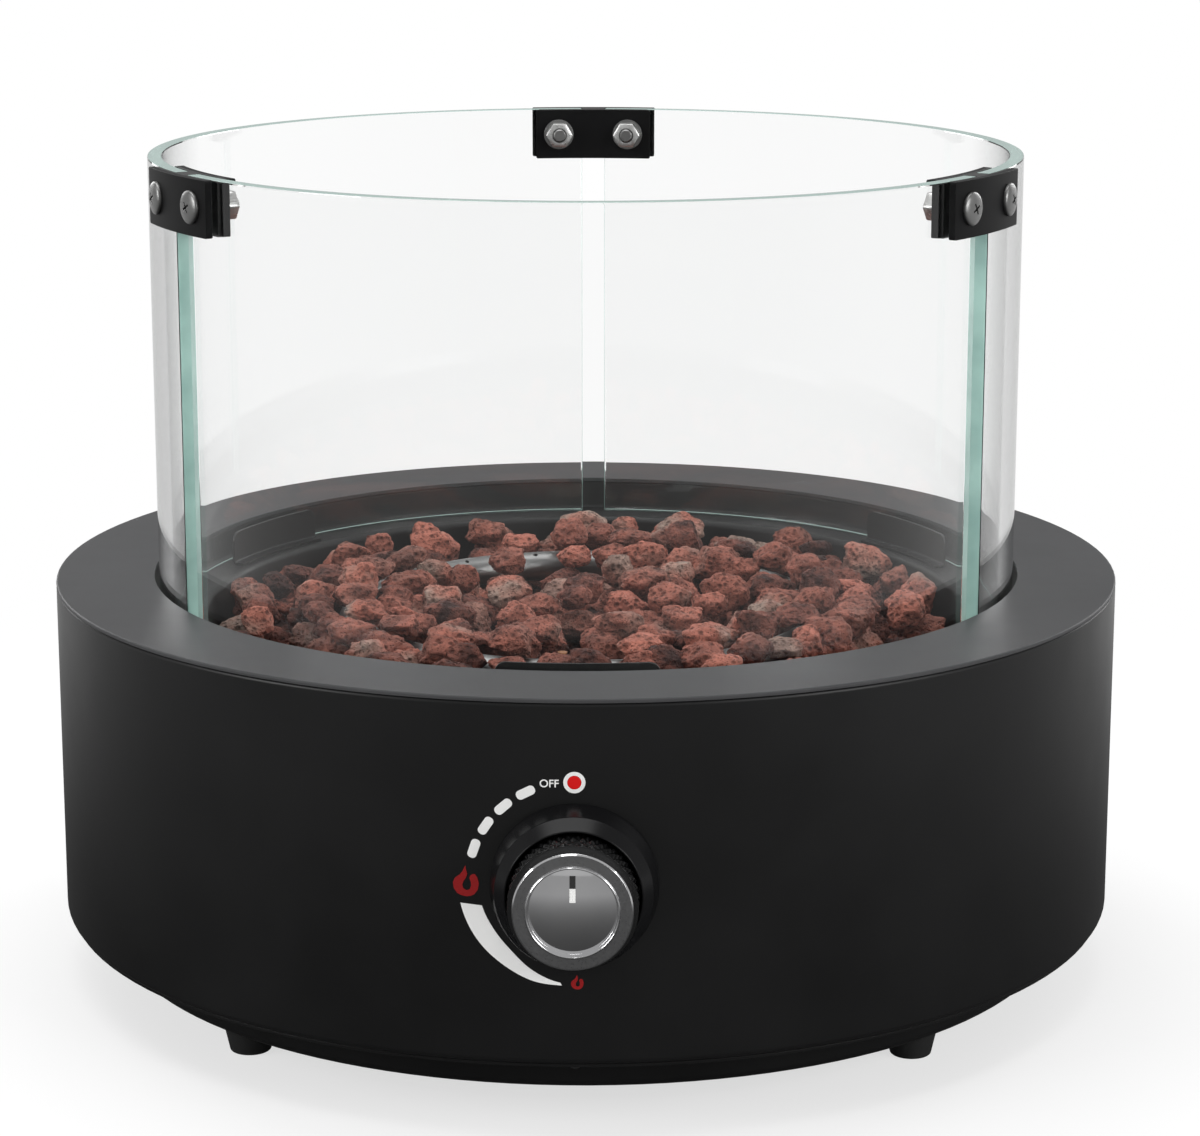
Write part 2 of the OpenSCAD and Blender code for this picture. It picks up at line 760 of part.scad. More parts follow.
module supply_nuts() {
    color("#c9a45a") {
        translate([0, -inlet_at, boss_low - tube_nut_h])
            hex_nut(tube_nut_af, tube_nut_h, tube_r);
        at_inlet() translate([0, 0, fitting_back - tube_nut_h])
            hex_nut(tube_nut_af, tube_nut_h, tube_r);
    }
}

// The threaded nipple that the gas hose screws onto, behind the drum
module inlet_fitting() {
    thread_r = inlet_thread_d / 2;
    thread_z0 = inlet_front - inlet_thread_len;
    color("#c9a45a") at_inlet() difference() {
        union() {
            translate([0, 0, thread_z0]) cylinder(h = inlet_thread_len, r = thread_r);
            translate([0, 0, thread_z0 - 3]) cylinder(h = 3, r = thread_r - 1);
            translate([0, 0, body_r + 6]) hex(hatch_hex_af, thread_z0 - body_r - 9);
            translate([0, 0, fitting_back]) cylinder(h = body_r + 6 - fitting_back, r = thread_r);
        }
        translate([0, 0, thread_z0]) cylinder(h = inlet_thread_len + 1, r = 3.2);
    }
}

// A saddle-backed spacer that lets the fitting's hex seat on the round wall
module inlet_plate() {
    color("#1d1d1d") at_inlet() difference() {
        translate([0, 0, body_r - 4]) cylinder(h = 10, r1 = 19, r2 = 16);
        translate([0, 0, body_r - 5]) cylinder(h = 12, r = inlet_thread_d / 2 + SLIP);
        rotate([90, 0, 0]) translate([0, 0, -60]) cylinder(h = 120, r = body_r + SEAT, $fn = 180);
    }
}

module inlet_locknut() {
    color("#c9a45a") at_inlet() translate([0, 0, inner_r - 6.5])
        hex_nut(hatch_hex_af, 6, inlet_thread_d / 2);
}

// ---- Valve and ignition ----

module gas_valve() {
    color("#9a9a98") difference() {
        union() {
            at_knob() {
                translate([0, 0, barrel_back]) cylinder(h = barrel_len, r = barrel_r);
                translate([-flange_half, -flange_tall / 2, plate_back - 6])
                    cube([2 * flange_half, flange_tall, 6]);
                translate([0, 0, plate_back]) cylinder(h = nose_end - plate_back, r = nose_r);
            }
            for (at = [outlet_at, inlet_at]) translate([0, -at, boss_low])
                cylinder(h = boss_len + barrel_r, r = boss_r);
        }
        at_knob() translate([0, 0, sleeve_back - push_travel - 1])
            cylinder(h = 60, r = sleeve_r + RUN);
    }
}

// A channel of sheet whose two legs end on the round wall
module valve_bracket() {
    color("#8d8d8b") at_knob() difference() {
        union() {
            translate([-28, -22, plate_back]) cube([56, 44, plate_t]);
            for (x = [-28, 28 - plate_t])
                translate([x, -22, plate_back]) cube([plate_t, 44, 20]);
        }
        translate([0, 0, plate_back - 1]) cylinder(h = 5, r = nose_r + SLIP);
        for (x = [-bezel_screw_x, bezel_screw_x])
            translate([x, 0, plate_back - 1]) cylinder(h = 5, r = bezel_screw_r + SLIP / 2);
        difference() {
            translate([-40, -30, plate_back]) cube([80, 60, 60]);
            rotate([90, 0, 0]) translate([0, 0, -60])
                cylinder(h = 120, r = inner_r - SEAT, $fn = 180);
        }
    }
}

// The spark block that straddles the top of the valve's barrel
module piezo_igniter() {
    color("#3a3a3c") at_knob() difference() {
        translate([0, 0, barrel_back + 2]) linear_extrude(barrel_len - 4) piezo_outline();
        cylinder(h = body_r, r = barrel_r + SEAT);
    }
}

module piezo_outline() {
    low = flange_tall / 2 + SEAT;
    top = barrel_r + 14;
    for (x = [-9, 9]) translate([x, top - 3]) circle(r = 3, $fn = 32);
    translate([-12, low]) square([24, top - 3 - low]);
    translate([-9, low]) square([18, top - low]);
}

lead_exit_z = knob_z + 20;

module igniter_lead() {
    color("#b03020") bent_rod([
        [pilot_x, -(barrel_back + 2), lead_exit_z],
        [pilot_x, lead_y, lead_exit_z],
        [pilot_x, lead_y, lead_z],
        [pilot_x, pilot_y, lead_z],
        [pilot_x, pilot_y, floor_low - 6]
    ], lead_r, 4);
}

// A ceramic insulator through the bowl's floor, with a wire bent towards the ring
module igniter_electrode() {
    tip_z = burner_z + 2;
    color("#e8e2d6") {
        translate([pilot_x, pilot_y, floor_low - 6])
            cylinder(h = tip_z - 12 - floor_low + 6, r = electrode_r);
        bent_rod([
            [pilot_x, pilot_y, tip_z - 13],
            [pilot_x, pilot_y, tip_z],
            [pilot_x, pilot_y - 5.5, tip_z]
        ], 1, 3);
    }
}

// The copper probe by the ring, and its lead back to the valve's magnet
module thermocouple() {
    color("#b87a4b") {
        translate([-pilot_x, pilot_y, floor_low - 6])
            cylinder(h = burner_z + 6 - floor_low + 6, r = probe_r);
        bent_rod([
            [-pilot_x, pilot_y, floor_low - 5],
            [-pilot_x, pilot_y, lead_z],
            [-pilot_x, lead_y, lead_z],
            [-pilot_x, lead_y, knob_z],
            [-pilot_x, -barrel_back, knob_z]
        ], lead_r, 4);
        translate([-pilot_x, -barrel_back, knob_z]) rotate([-90, 0, 0])
            cylinder(h = 4, r = 3.2);
    }
}

// A small plate welded under the ring that carries the electrode and the probe
module pilot_bracket() {
    top = burner_z - burner_tube_r;
    color("#8d8d8b") difference() {
        translate([-pilot_x - 7, -burner_r - 2, top - 1.2])
            cube([2 * pilot_x + 14, burner_r + 2 + pilot_y + 8, 1.2]);
        translate([pilot_x, pilot_y, top - 3]) cylinder(h = 6, r = electrode_r + SEAT);
        translate([-pilot_x, pilot_y, top - 3]) cylinder(h = 6, r = probe_r + SEAT);
    }
}

// A curved sheet between the hot bowl and the valve, hemmed in to the bowl's wall
module heat_shield() {
    hem_z = seat_z - 11;
    bowl_out = mouth_r - bowl_draw * 11 / bowl_depth + bowl_t + SLIP;
    color("#8d8d8b") rotate(270 - 32) rotate_extrude(angle = 64, $fn = 180) sheet([
        [shield_r, floor_low - 8, 0],
        [shield_r, hem_z, bend_r + 1],
        [bowl_out, hem_z, 0]
    ], 1);
}

// ---- Knob ----

module knob_bezel() {
    front = body_r + bezel_h;
    color("#0e0e0e") at_knob() difference() {
        rotate_extrude() polygon(rounded([
            [knob_hole_r, body_r - 6, 0],
            [bezel_d / 2, body_r - 6, 0],
            [bezel_d / 2, body_r + 2, 1],
            [bezel_front_d / 2, front, 1.4],
            [grip_d / 2 + 1, front, 1],
            [grip_d / 2 + 1, body_r + bezel_plate_t, 0],
            [knob_hole_r, body_r + bezel_plate_t, 0]
        ]));
        rotate([90, 0, 0]) translate([0, 0, -60]) cylinder(h = 120, r = body_r + SEAT, $fn = 180);
        bezel_screw_holes();
        for (x = [-bezel_screw_x, bezel_screw_x])
            translate([x, 0, body_r + bezel_plate_t - 1.6]) cylinder(h = 4, r = bezel_screw_r + 1.7);
    }
}

module bezel_screws() {
    seat = body_r + bezel_plate_t - 1.6;
    color("silver") at_knob() for (x = [-bezel_screw_x, bezel_screw_x]) translate([x, 0, 0]) {
        translate([0, 0, seat]) cylinder(h = 1.4, r = bezel_screw_r + 1.5);
        translate([0, 0, plate_back - 1]) cylinder(h = seat - plate_back + 1.1, r = bezel_screw_r);
    }
}

// The sleeve that slides in the valve's nose and takes the push, round the turning stem
module push_sleeve() {
    color("#b9b9b5") at_knob() difference() {
        translate([0, 0, sleeve_back]) cylinder(h = sleeve_front - sleeve_back, r = sleeve_r);
        translate([0, 0, sleeve_back + 2]) cylinder(h = 60, r = stem_r + RUN);
    }
}

module stem_section(clear) {
    difference() {
        circle(r = stem_r + clear, $fn = 48);
        translate([stem_r * 0.55 + clear, -10]) square([10, 20]);
    }
}

module valve_stem() {
    flat_z0 = sleeve_front + SLIP;
    color("#b9b9b5") at_knob() {
        translate([0, 0, sleeve_back + 2 + SLIP])
            cylinder(h = flat_z0 - sleeve_back - 2 - SLIP, r = stem_r);
        translate([0, 0, flat_z0 - 0.01]) linear_extrude(grip_front - 6 - flat_z0)
            stem_section(0);
    }
}

knurl_outline = [for (i = [0:2 * knurl_count - 1])
    let (a = i * 180 / knurl_count, r = grip_d / 2 - (i % 2) * knurl_depth)
    [r * cos(a), r * sin(a)]];

module knob_grip() {
    edge = grip_d / 2 - knurl_depth - 0.2;
    color("#141414") at_knob() difference() {
        union() {
            translate([0, 0, grip_back]) cylinder(h = 2, r = edge);
            translate([0, 0, grip_back + 2]) linear_extrude(grip_front - grip_back - 4)
                polygon(knurl_outline);
            translate([0, 0, grip_front - 2]) cylinder(h = 2, r1 = edge, r2 = edge - 0.8);
            translate([0, 0, sleeve_front + SLIP]) cylinder(h = 20, r = hub_r);
        }
        difference() {
            translate([0, 0, grip_back - 1]) cylinder(h = grip_front - grip_back - 8, r = edge - 3);
            translate([0, 0, sleeve_front]) cylinder(h = 60, r = hub_r);
        }
        translate([0, 0, sleeve_front - 1]) linear_extrude(grip_front - 5.9 - sleeve_front + 1)
            stem_section(RUN);
        translate([0, 0, grip_front - 2]) cylinder(h = 3, r = cap_d / 2 - 3);
    }
}

// The bright cap: a flat rim round a shallow dish, with a pointer slot
module knob_cap() {
    dish_r = dish_d / 2;
    ball_r = (dish_r * dish_r + dish_depth * dish_depth) / (2 * dish_depth);
    color("#d8d8d8") at_knob() difference() {
        rotate_extrude() polygon(rounded([
            [0, grip_front - 2 + SEAT, 0],
            [cap_d / 2 - 3 - SEAT, grip_front - 2 + SEAT, 0],
            [cap_d / 2 - 3 - SEAT, grip_front, 0],
            [cap_d / 2, grip_front, 0],
            [cap_d / 2, knob_front, 0.8],
            [0, knob_front, 0]
        ]));
        translate([0, 0, knob_front - dish_depth + ball_r]) sphere(r = ball_r, $fn = 180);
        translate([-1.15, dish_r - 13, knob_front - dish_depth - 0.8]) cube([2.3, 10, 5]);
    }
}

// ---- Glass guard ----

module glass_panel(mid) {
    half = 60 - gap_turn;
    color("#cfe6df", 0.4) rotate(mid) difference() {
        rotate(-half) rotate_extrude(angle = 2 * half, $fn = 180)
            translate([glass_r - glass_t, glass_z0]) square([glass_t, glass_h]);
        for (a = [-60 + screw_turn, 60 - screw_turn]) radial(a, screw_z)
            translate([0, 0, glass_r - 20]) cylinder(h = 40, r = clamp_screw_d / 2 + 1.5);
    }
}

module glass_back_left() { glass_panel(150); }
module glass_front() { glass_panel(270); }
module glass_back_right() { glass_panel(30); }

module clamp_holes() {
    for (a = [-screw_turn, screw_turn]) radial(a, screw_z)
        translate([0, 0, glass_r - 30]) cylinder(h = 60, r = clamp_screw_d / 2 + SEAT);
}

// A curved clamp plate with its corners rounded
module clamp_plate(angle, r0, half) {
    w = 2 * (r0 + clamp_t) * sin(half);
    color("#2e2e2e") rotate(angle) difference() {
        intersection() {
            arc_band(r0, r0 + clamp_t, glass_z1 - clamp_h - 1, clamp_h + 2, half + 1);
            translate([r0 - 30, 0, glass_z1 - clamp_h / 2]) rotate([90, 0, 90])
                linear_extrude(60) rounded_box(w, clamp_h, clamp_corner);
        }
        clamp_holes();
    }
}

module rounded_box(w, h, r) {
    for (x = [r - w / 2, w / 2 - r], y = [r - h / 2, h / 2 - r])
        translate([x, y]) circle(r = r, $fn = 24);
    square([w, h - 2 * r], center = true);
    square([w - 2 * r, h], center = true);
}

module clamp_outer_back() { clamp_plate(90, outer_plate_r, outer_turn); }
module clamp_outer_left() { clamp_plate(210, outer_plate_r, outer_turn); }
module clamp_outer_right() { clamp_plate(330, outer_plate_r, outer_turn); }
module clamp_inner_back() { clamp_plate(90, inner_plate_r - clamp_t, inner_turn); }
module clamp_inner_left() { clamp_plate(210, inner_plate_r - clamp_t, inner_turn); }
module clamp_inner_right() { clamp_plate(330, inner_plate_r - clamp_t, inner_turn); }

module clamp_gaskets() {
    color("#101010") for (a = SEAMS) rotate(a) difference() {
        union() {
            arc_band(glass_r + SEAT, outer_plate_r - SEAT, glass_z1 - clamp_h, clamp_h,
                outer_turn - 0.5);
            arc_band(inner_plate_r + SEAT, glass_r - glass_t - SEAT, glass_z1 - clamp_h, clamp_h,
                inner_turn - 0.5);
        }
        clamp_holes();
    }
}

module clamp_spacers() {
    wide = panel_gap - 2 * SLIP;
    color("#101010") for (a = SEAMS) rotate(a) intersection() {
        arc_band(glass_r - glass_t, glass_r, glass_z1 - clamp_h, clamp_h, 2 * gap_turn);
        translate([glass_r - 30, -wide / 2, glass_z1 - clamp_h]) cube([60, wide, clamp_h]);
    }
}

module at_clamp_screws(r) {
    for (seam = SEAMS, a = [-screw_turn, screw_turn])
        radial(seam + a, screw_z) translate([0, 0, r]) children();
}

module clamp_screws() {
    head_r = outer_plate_r + clamp_t;
    tail_r = washer_seat - washer_t - clamp_nut_h - clamp_screw_end;
    color("#c4c4c2") {
        at_clamp_screws(head_r) low_head(clamp_head_d, clamp_head_h);
        at_clamp_screws(tail_r) cylinder(h = head_r - tail_r, r = clamp_screw_d / 2);
    }
}

module clamp_washers() {
    color("#c4c4c2") at_clamp_screws(washer_seat - washer_t) difference() {
        cylinder(h = washer_t, r = washer_r);
        translate([0, 0, -1]) cylinder(h = 4, r = clamp_screw_d / 2 + SEAT);
    }
}

module clamp_nuts() {
    color("#c4c4c2") at_clamp_screws(washer_seat - washer_t - clamp_nut_h)
        hex_nut(clamp_nut_af, clamp_nut_h, clamp_screw_d / 2);
}

body_shell();
top_ring();
rim_nuts();
fire_bowl();
glass_tabs();
base_pan();
base_screws();
feet();
foot_screws();
foot_nuts();
lava_bed();
lava_stones();
burner_ring();
burner_nut();
burner_screws();
mixer_tube();
orifice_jet();
manifold_tube();
manifold_nut();
supply_tube();
supply_nuts();
inlet_fitting();
inlet_plate();
inlet_locknut();
gas_valve();
valve_bracket();
piezo_igniter();
igniter_lead();
igniter_electrode();
thermocouple();
pilot_bracket();
heat_shield();
knob_bezel();
bezel_screws();
push_sleeve();
valve_stem();
knob_grip();
knob_cap();
glass_back_left();
glass_front();
glass_back_right();
clamp_outer_back();
clamp_outer_left();
clamp_outer_right();
clamp_inner_back();
clamp_inner_left();
clamp_inner_right();
clamp_gaskets();
clamp_spacers();
clamp_screws();
clamp_washers();
clamp_nuts();
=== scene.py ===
# %% [markdown]
# # A tabletop gas fire pit
# The real object is a round steel drum with a powder coat. A black bowl of lava stones hangs in its
# top ring, three curved panes of tempered glass stand round the stones, and a push-and-turn knob on
# the front works the gas. The solid model already has every piece at its real size, so this lesson
# gives each one its finish, and models again the few whose charm is in fine detail: the stones, the
# glass with its green edges, the knob and its bezel, the screw heads and the printed dial.

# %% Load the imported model
import json
import math
import random

import bmesh
import bpy
from mathutils import Matrix, Vector, noise


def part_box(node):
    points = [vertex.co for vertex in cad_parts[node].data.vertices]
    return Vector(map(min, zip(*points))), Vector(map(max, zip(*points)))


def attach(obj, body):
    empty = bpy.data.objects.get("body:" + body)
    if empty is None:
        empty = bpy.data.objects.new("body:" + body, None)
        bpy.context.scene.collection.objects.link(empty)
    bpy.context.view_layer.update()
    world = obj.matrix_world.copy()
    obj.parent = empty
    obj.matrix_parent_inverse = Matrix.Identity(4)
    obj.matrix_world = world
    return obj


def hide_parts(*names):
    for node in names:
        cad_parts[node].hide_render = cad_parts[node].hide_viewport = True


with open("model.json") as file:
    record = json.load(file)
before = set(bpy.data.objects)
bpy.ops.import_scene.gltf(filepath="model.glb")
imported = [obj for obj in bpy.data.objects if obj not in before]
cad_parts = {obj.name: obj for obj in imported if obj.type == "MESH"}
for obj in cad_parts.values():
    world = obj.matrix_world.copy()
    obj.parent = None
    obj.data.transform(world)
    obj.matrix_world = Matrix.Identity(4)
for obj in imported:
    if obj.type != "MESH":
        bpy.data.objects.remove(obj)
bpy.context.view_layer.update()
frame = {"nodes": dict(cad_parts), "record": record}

MM = 0.001

# %% [markdown]
# ## Sizes
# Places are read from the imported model, so that a changed drum changes its looks with it. Only what
# the solids can't tell, such as the length of a printed mark, is written in this file.

# %% Sizes of the drum, the glass and the knob
DRUM_R = -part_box("body_shell")[0].y
PANE_LOW, PANE_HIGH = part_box("glass_front")
GLASS_LOW, GLASS_TOP, GLASS_R, GLASS_T = PANE_LOW.z, PANE_HIGH.z, -PANE_LOW.y, 6 * MM
PANE_HALF_TURN = math.asin(PANE_HIGH.x / GLASS_R)
PANES = {"glass_back_right": 30, "glass_back_left": 150, "glass_front": 270}
GRIP_LOW, GRIP_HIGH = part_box("knob_grip")
CAP_LOW, CAP_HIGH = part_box("knob_cap")
KNOB_Z = (GRIP_LOW.z + GRIP_HIGH.z) / 2
print(f"drum {2000 * DRUM_R:.0f} mm across, glass top {1000 * GLASS_TOP:.1f} mm up")
print(f"each pane turns through {math.degrees(2 * PANE_HALF_TURN):.1f} degrees")

# %% [markdown]
# ## A few words for objects
# Two small steps come back all through this lesson: put new data in the scene as an object, and
# turn a bmesh into a mesh.

# %% Helpers for objects
def in_scene(name, data):
    """A new object in the scene, made from its data."""
    item = bpy.data.objects.new(name, data)
    bpy.context.scene.collection.objects.link(item)
    return item


def mesh_from(bm, name):
    """The bmesh's shape as a mesh. The bmesh itself is freed."""
    mesh = bpy.data.meshes.new(name)
    bm.to_mesh(mesh)
    bm.free()
    return mesh


print("object helpers ready")

# %% [markdown]
# ## Camera
# The photograph was taken with a long lens from about a metre and a half away, looking down by
# thirteen degrees. A long lens keeps the drum's ellipses flat, so the focal length matters more
# than anything else here. The object stands turned by about one degree, and because the packed
# model is never moved, the camera goes round it by that degree instead.

# %% Camera
PHOTO_W = 1200
FOCAL_PIXELS = 3465.6
SENSOR_W = 36.0
CAMERA_SPOT = Vector((28.7, -1450.5, 503.9)) * MM
CAMERA_DOWN, CAMERA_ROUND = 12.998, 0.9

camera_data = bpy.data.cameras.new("camera")
camera_data.sensor_width = SENSOR_W
camera_data.lens = FOCAL_PIXELS / PHOTO_W * SENSOR_W
camera = in_scene("camera", camera_data)
camera.location = CAMERA_SPOT
camera.rotation_euler = (math.radians(90 - CAMERA_DOWN), 0, math.radians(CAMERA_ROUND))
bpy.context.scene.camera = camera
bpy.context.scene.view_settings.view_transform = "Standard"
print(f"lens {camera_data.lens:.1f} mm")

# %% [markdown]
# ## A few words for node trees
# A material in Blender is a tree of nodes. Writing one in Python takes three steps over and over:
# make a node, set its sockets, join it to others. One helper does all three. Patterns always read
# Object coordinates, in metres, because a finished piece keeps its object at the origin, and the
# pattern then stays on the piece when a joint moves it.

# %% Helpers for node trees
def set_sockets(tree, node, sockets):
    """Gives each named input its value, or joins it to the output that feeds it."""
    for name, value in sockets.items():
        if isinstance(value, bpy.types.NodeSocket):
            tree.links.new(value, node.inputs[name])
        else:
            node.inputs[name].default_value = value
    return node


def add(tree, kind, sockets={}, **settings):
    """A new shader node with its settings and sockets."""
    node = tree.nodes.new("ShaderNode" + kind)
    for name, value in settings.items():
        setattr(node, name, value)
    return set_sockets(tree, node, sockets)


def value_of(tree, operation, *values, clamp=False):
    """The output of a Math node, whose values are numbers or outputs."""
    node = add(tree, "Math", operation=operation, use_clamp=clamp)
    return set_sockets(tree, node, dict(enumerate(values))).outputs[0]


def times(tree, first, second):
    """The product of two values."""
    return value_of(tree, "MULTIPLY", first, second)


def spread(tree, value, low, high, to_low=0.0, to_high=1.0, kind="LINEAR"):
    """A value stretched from one range to another, and held inside it."""
    sockets = {"Value": value, "From Min": low, "From Max": high, "To Min": to_low, "To Max": to_high}
    return add(tree, "MapRange", sockets, interpolation_type=kind).outputs["Result"]


def mixed(tree, amount, first, second):
    """Two colours mixed by an amount that changes over the surface."""
    return add(tree, "Mix", {0: amount, 6: first, 7: second}, data_type="RGBA").outputs[2]


def place(tree):
    """The point on the piece, in metres."""
    return add(tree, "TexCoord").outputs["Object"]


def clouds(tree, scale, detail=2.0, spot=None, **more):
    """Noise from 0 to 1, read on the piece itself unless another spot is given."""
    sockets = {"Vector": spot or place(tree), "Scale": scale, "Detail": detail, **more}
    return add(tree, "TexNoise", sockets).outputs[0]


print("helpers ready")


# %% Helpers for materials and groups
def new_material(name, plain):
    """A material with its tree and its Principled shader, whose plain values are set."""
    material = bpy.data.materials.new(name)
    material.use_nodes = True
    tree = material.node_tree
    return material, tree, set_sockets(tree, tree.nodes["Principled BSDF"], plain)


def new_group(name, inputs, outputs):
    """A shader node group. A number makes a float socket, four make a colour, three a vector."""
    tree = bpy.data.node_groups.new(name, "ShaderNodeTree")
    kinds = {4: "NodeSocketColor", 3: "NodeSocketVector", 1: "NodeSocketFloat"}
    for label, value in inputs.items():
        kind = kinds[len(value) if isinstance(value, tuple) else 1]
        tree.interface.new_socket(label, in_out="INPUT", socket_type=kind).default_value = value
    for label in outputs:
        kind = kinds[{"Color": 4, "Normal": 3}.get(label, 1)]
        tree.interface.new_socket(label, in_out="OUTPUT", socket_type=kind)
    return tree, tree.nodes.new("NodeGroupInput").outputs, tree.nodes.new("NodeGroupOutput")


def use_group(tree, group, **sockets):
    """The outputs of a group placed in a material with its own values."""
    node = tree.nodes.new("ShaderNodeGroup")
    node.node_tree = group
    return set_sockets(tree, node, {label.title(): value for label, value in sockets.items()}).outputs


print("material helpers ready")

# %% [markdown]
# ## The floor, the backdrop and the light
# The photograph is a product picture: white all round, with a soft shadow under the drum. Light
# strong enough to bleach a floor would bleach the object too. So the floor is a plain pale one that
# takes the shadow near the object, and further out it turns into pure white, which only the camera
# sees, also through glass. Mirrors see it as the grey of a dim studio, brighter behind the object
# than in front, which gives chrome and gloss the greys of the photograph. A ray counts as mirrored
# from its first mirror on, so that a sheen seen through the glass is no brighter than one beside it.

# %% A helper for rays
def sort_rays(tree):
    """Two masks: rays that came by a mirror, and rays that the camera sees straight or through glass."""
    rays = add(tree, "LightPath").outputs
    bounced = value_of(tree, "ADD", rays["Glossy Depth"], rays["Diffuse Depth"])
    straight = value_of(tree, "LESS_THAN", bounced, 0.5)
    seen = value_of(tree, "MAXIMUM", rays["Is Camera Ray"], rays["Is Transmission Ray"])
    light_only = value_of(tree, "MAXIMUM", rays["Is Diffuse Ray"], rays["Is Shadow Ray"])
    mirrored = value_of(tree, "GREATER_THAN", rays["Glossy Depth"], 0.5)
    mirrored = times(tree, mirrored, value_of(tree, "SUBTRACT", 1.0, light_only))
    return mirrored, times(tree, seen, straight)


print("ray helper ready")

# %% The floor
FLOOR_REACH, PAPER = 12.0, (0.88, 0.88, 0.88, 1)
SHADOW_NEAR, SHADOW_FAR, SHADOW_LIFT = 0.25, 0.7, 0.66
GREY_NEAR, GREY_FAR, GREY_DARK, GREY_LIGHT = 0.30, 0.90, 0.12, 0.70
BRIGHT_SIDE = (0.2, 0.97, 0)
FRONT_SIDE, BACK_SIDE, FRONT_GLOW, BACK_GLOW = -0.6, 0.9, 0.42, 1.2

floor_paper, tree, paper = new_material("floor_paper", {"Base Color": PAPER, "Roughness": 0.9})
far = add(tree, "VectorMath", {0: place(tree)}, operation="LENGTH").outputs["Value"]
fade = spread(tree, far, SHADOW_NEAR, SHADOW_FAR, SHADOW_LIFT, 1.0, kind="SMOOTHSTEP")
mirrored, seen = sort_rays(tree)
grey = spread(tree, far, GREY_NEAR, GREY_FAR, GREY_DARK, GREY_LIGHT, kind="SMOOTHSTEP")
outward = add(tree, "VectorMath", {0: place(tree)}, operation="NORMALIZE").outputs["Vector"]
side = add(tree, "VectorMath", {0: outward, 1: BRIGHT_SIDE}, operation="DOT_PRODUCT").outputs["Value"]
side = spread(tree, side, FRONT_SIDE, BACK_SIDE, FRONT_GLOW, BACK_GLOW)
grey = times(tree, grey, side)
glow = value_of(tree, "MAXIMUM", seen, times(tree, mirrored, grey))
white = add(tree, "Emission", {"Color": (1, 1, 1, 1), "Strength": glow}).outputs[0]
whitened = value_of(tree, "MAXIMUM", times(tree, fade, seen), mirrored)
blend = add(tree, "MixShader", {0: whitened, 1: paper.outputs[0], 2: white}).outputs[0]
tree.links.new(blend, tree.nodes["Material Output"].inputs["Surface"])

bm = bmesh.new()
bmesh.ops.create_grid(bm, x_segments=1, y_segments=1, size=FLOOR_REACH)
floor = in_scene("floor", mesh_from(bm, "floor"))
floor.data.materials.append(floor_paper)
print("floor", 2 * FLOOR_REACH, "m across")

# %% The world
ROOM_LIGHT = 0.42

world = bpy.data.worlds.new("studio")
bpy.context.scene.world = world
world.use_nodes = True
tree = world.node_tree
room = set_sockets(tree, tree.nodes["Background"], {"Color": (1, 1, 1, 1), "Strength": ROOM_LIGHT})
white = add(tree, "Background", {"Color": (1, 1, 1, 1), "Strength": 1.0}).outputs[0]
mirrored, seen = sort_rays(tree)
blend = add(tree, "MixShader", {0: seen, 1: room.outputs[0], 2: white}).outputs[0]
tree.links.new(blend, tree.nodes["World Output"].inputs["Surface"])
print("room light", ROOM_LIGHT)

# %% [markdown]
# Soft lamps are large rectangles. Two tall ones far back at the sides draw the pale bands along the
# drum's edges, a wide one overhead lights the ring and the stones, and two at the front keep the
# dark finishes readable.

# %% The lamps
DRUM_MIDDLE = Vector((0, 0, 0.15))
# Each lamp has a spot, a width and height in metres, and its watts.
LAMPS = {
    "overhead": ((-0.2, 0.2, 2.1), (1.8, 1.8), 30),
    "left_edge": ((-1.15, 1.4, 0.9), (0.7, 1.1), 9),
    "front_left": ((-1.8, -0.9, 0.9), (1.0, 1.0), 16),
    "front_right": ((1.5, -1.1, 0.8), (1.2, 0.9), 16),
    "right_edge": ((1.25, 1.35, 0.9), (0.7, 1.1), 10),
}

for name, (spot, (width, height), watts) in LAMPS.items():
    data = bpy.data.lights.new(name, "AREA")
    data.shape, data.size, data.size_y, data.energy = "RECTANGLE", width, height, watts
    lamp = in_scene(name, data)
    lamp.location = spot
    lamp.rotation_euler = (DRUM_MIDDLE - Vector(spot)).to_track_quat("-Z", "Y").to_euler()
print("lamps:", *LAMPS)

# %% [markdown]
# ## Effects that several finishes share
# No real edge is a knife edge. The Bevel node rounds the shading at every sharp edge without a
# single extra face. Where its normal turns away from the true one there is an edge, and that gives
# a mask for the wear that handling leaves. It is built once, as a group.

# %% Group: rounded and worn edges
FLAT_FACING, EDGE_FACING, RUB_SCALE = 0.98, 0.88, 60.0

rounded_edges, given, gives = new_group("rounded_edges", {"Radius": 0.0004}, ["Mask", "Normal"])
tree = rounded_edges
soft = add(tree, "Bevel", {"Radius": given["Radius"]}, samples=4).outputs[0]
true = add(tree, "NewGeometry").outputs["True Normal"]
facing = add(tree, "VectorMath", {0: soft, 1: true}, operation="DOT_PRODUCT").outputs["Value"]
at_edge = spread(tree, facing, FLAT_FACING, EDGE_FACING)
mask = times(tree, at_edge, spread(tree, clouds(tree, RUB_SCALE, 4.0), 0.42, 0.66))
set_sockets(tree, gives, {"Mask": mask, "Normal": soft})
print("group", tree.name)

# %% [markdown]
# Powder coat is plastic powder baked on steel. Seen close it has a fine orange peel, about half a
# millimetre from hump to hump, and its sheen drifts a little from place to place. The same group
# with a finer or coarser grain also makes moulded plastic and rubber.

# %% Group: coated and moulded surfaces
DRIFT_SCALE = 16.0

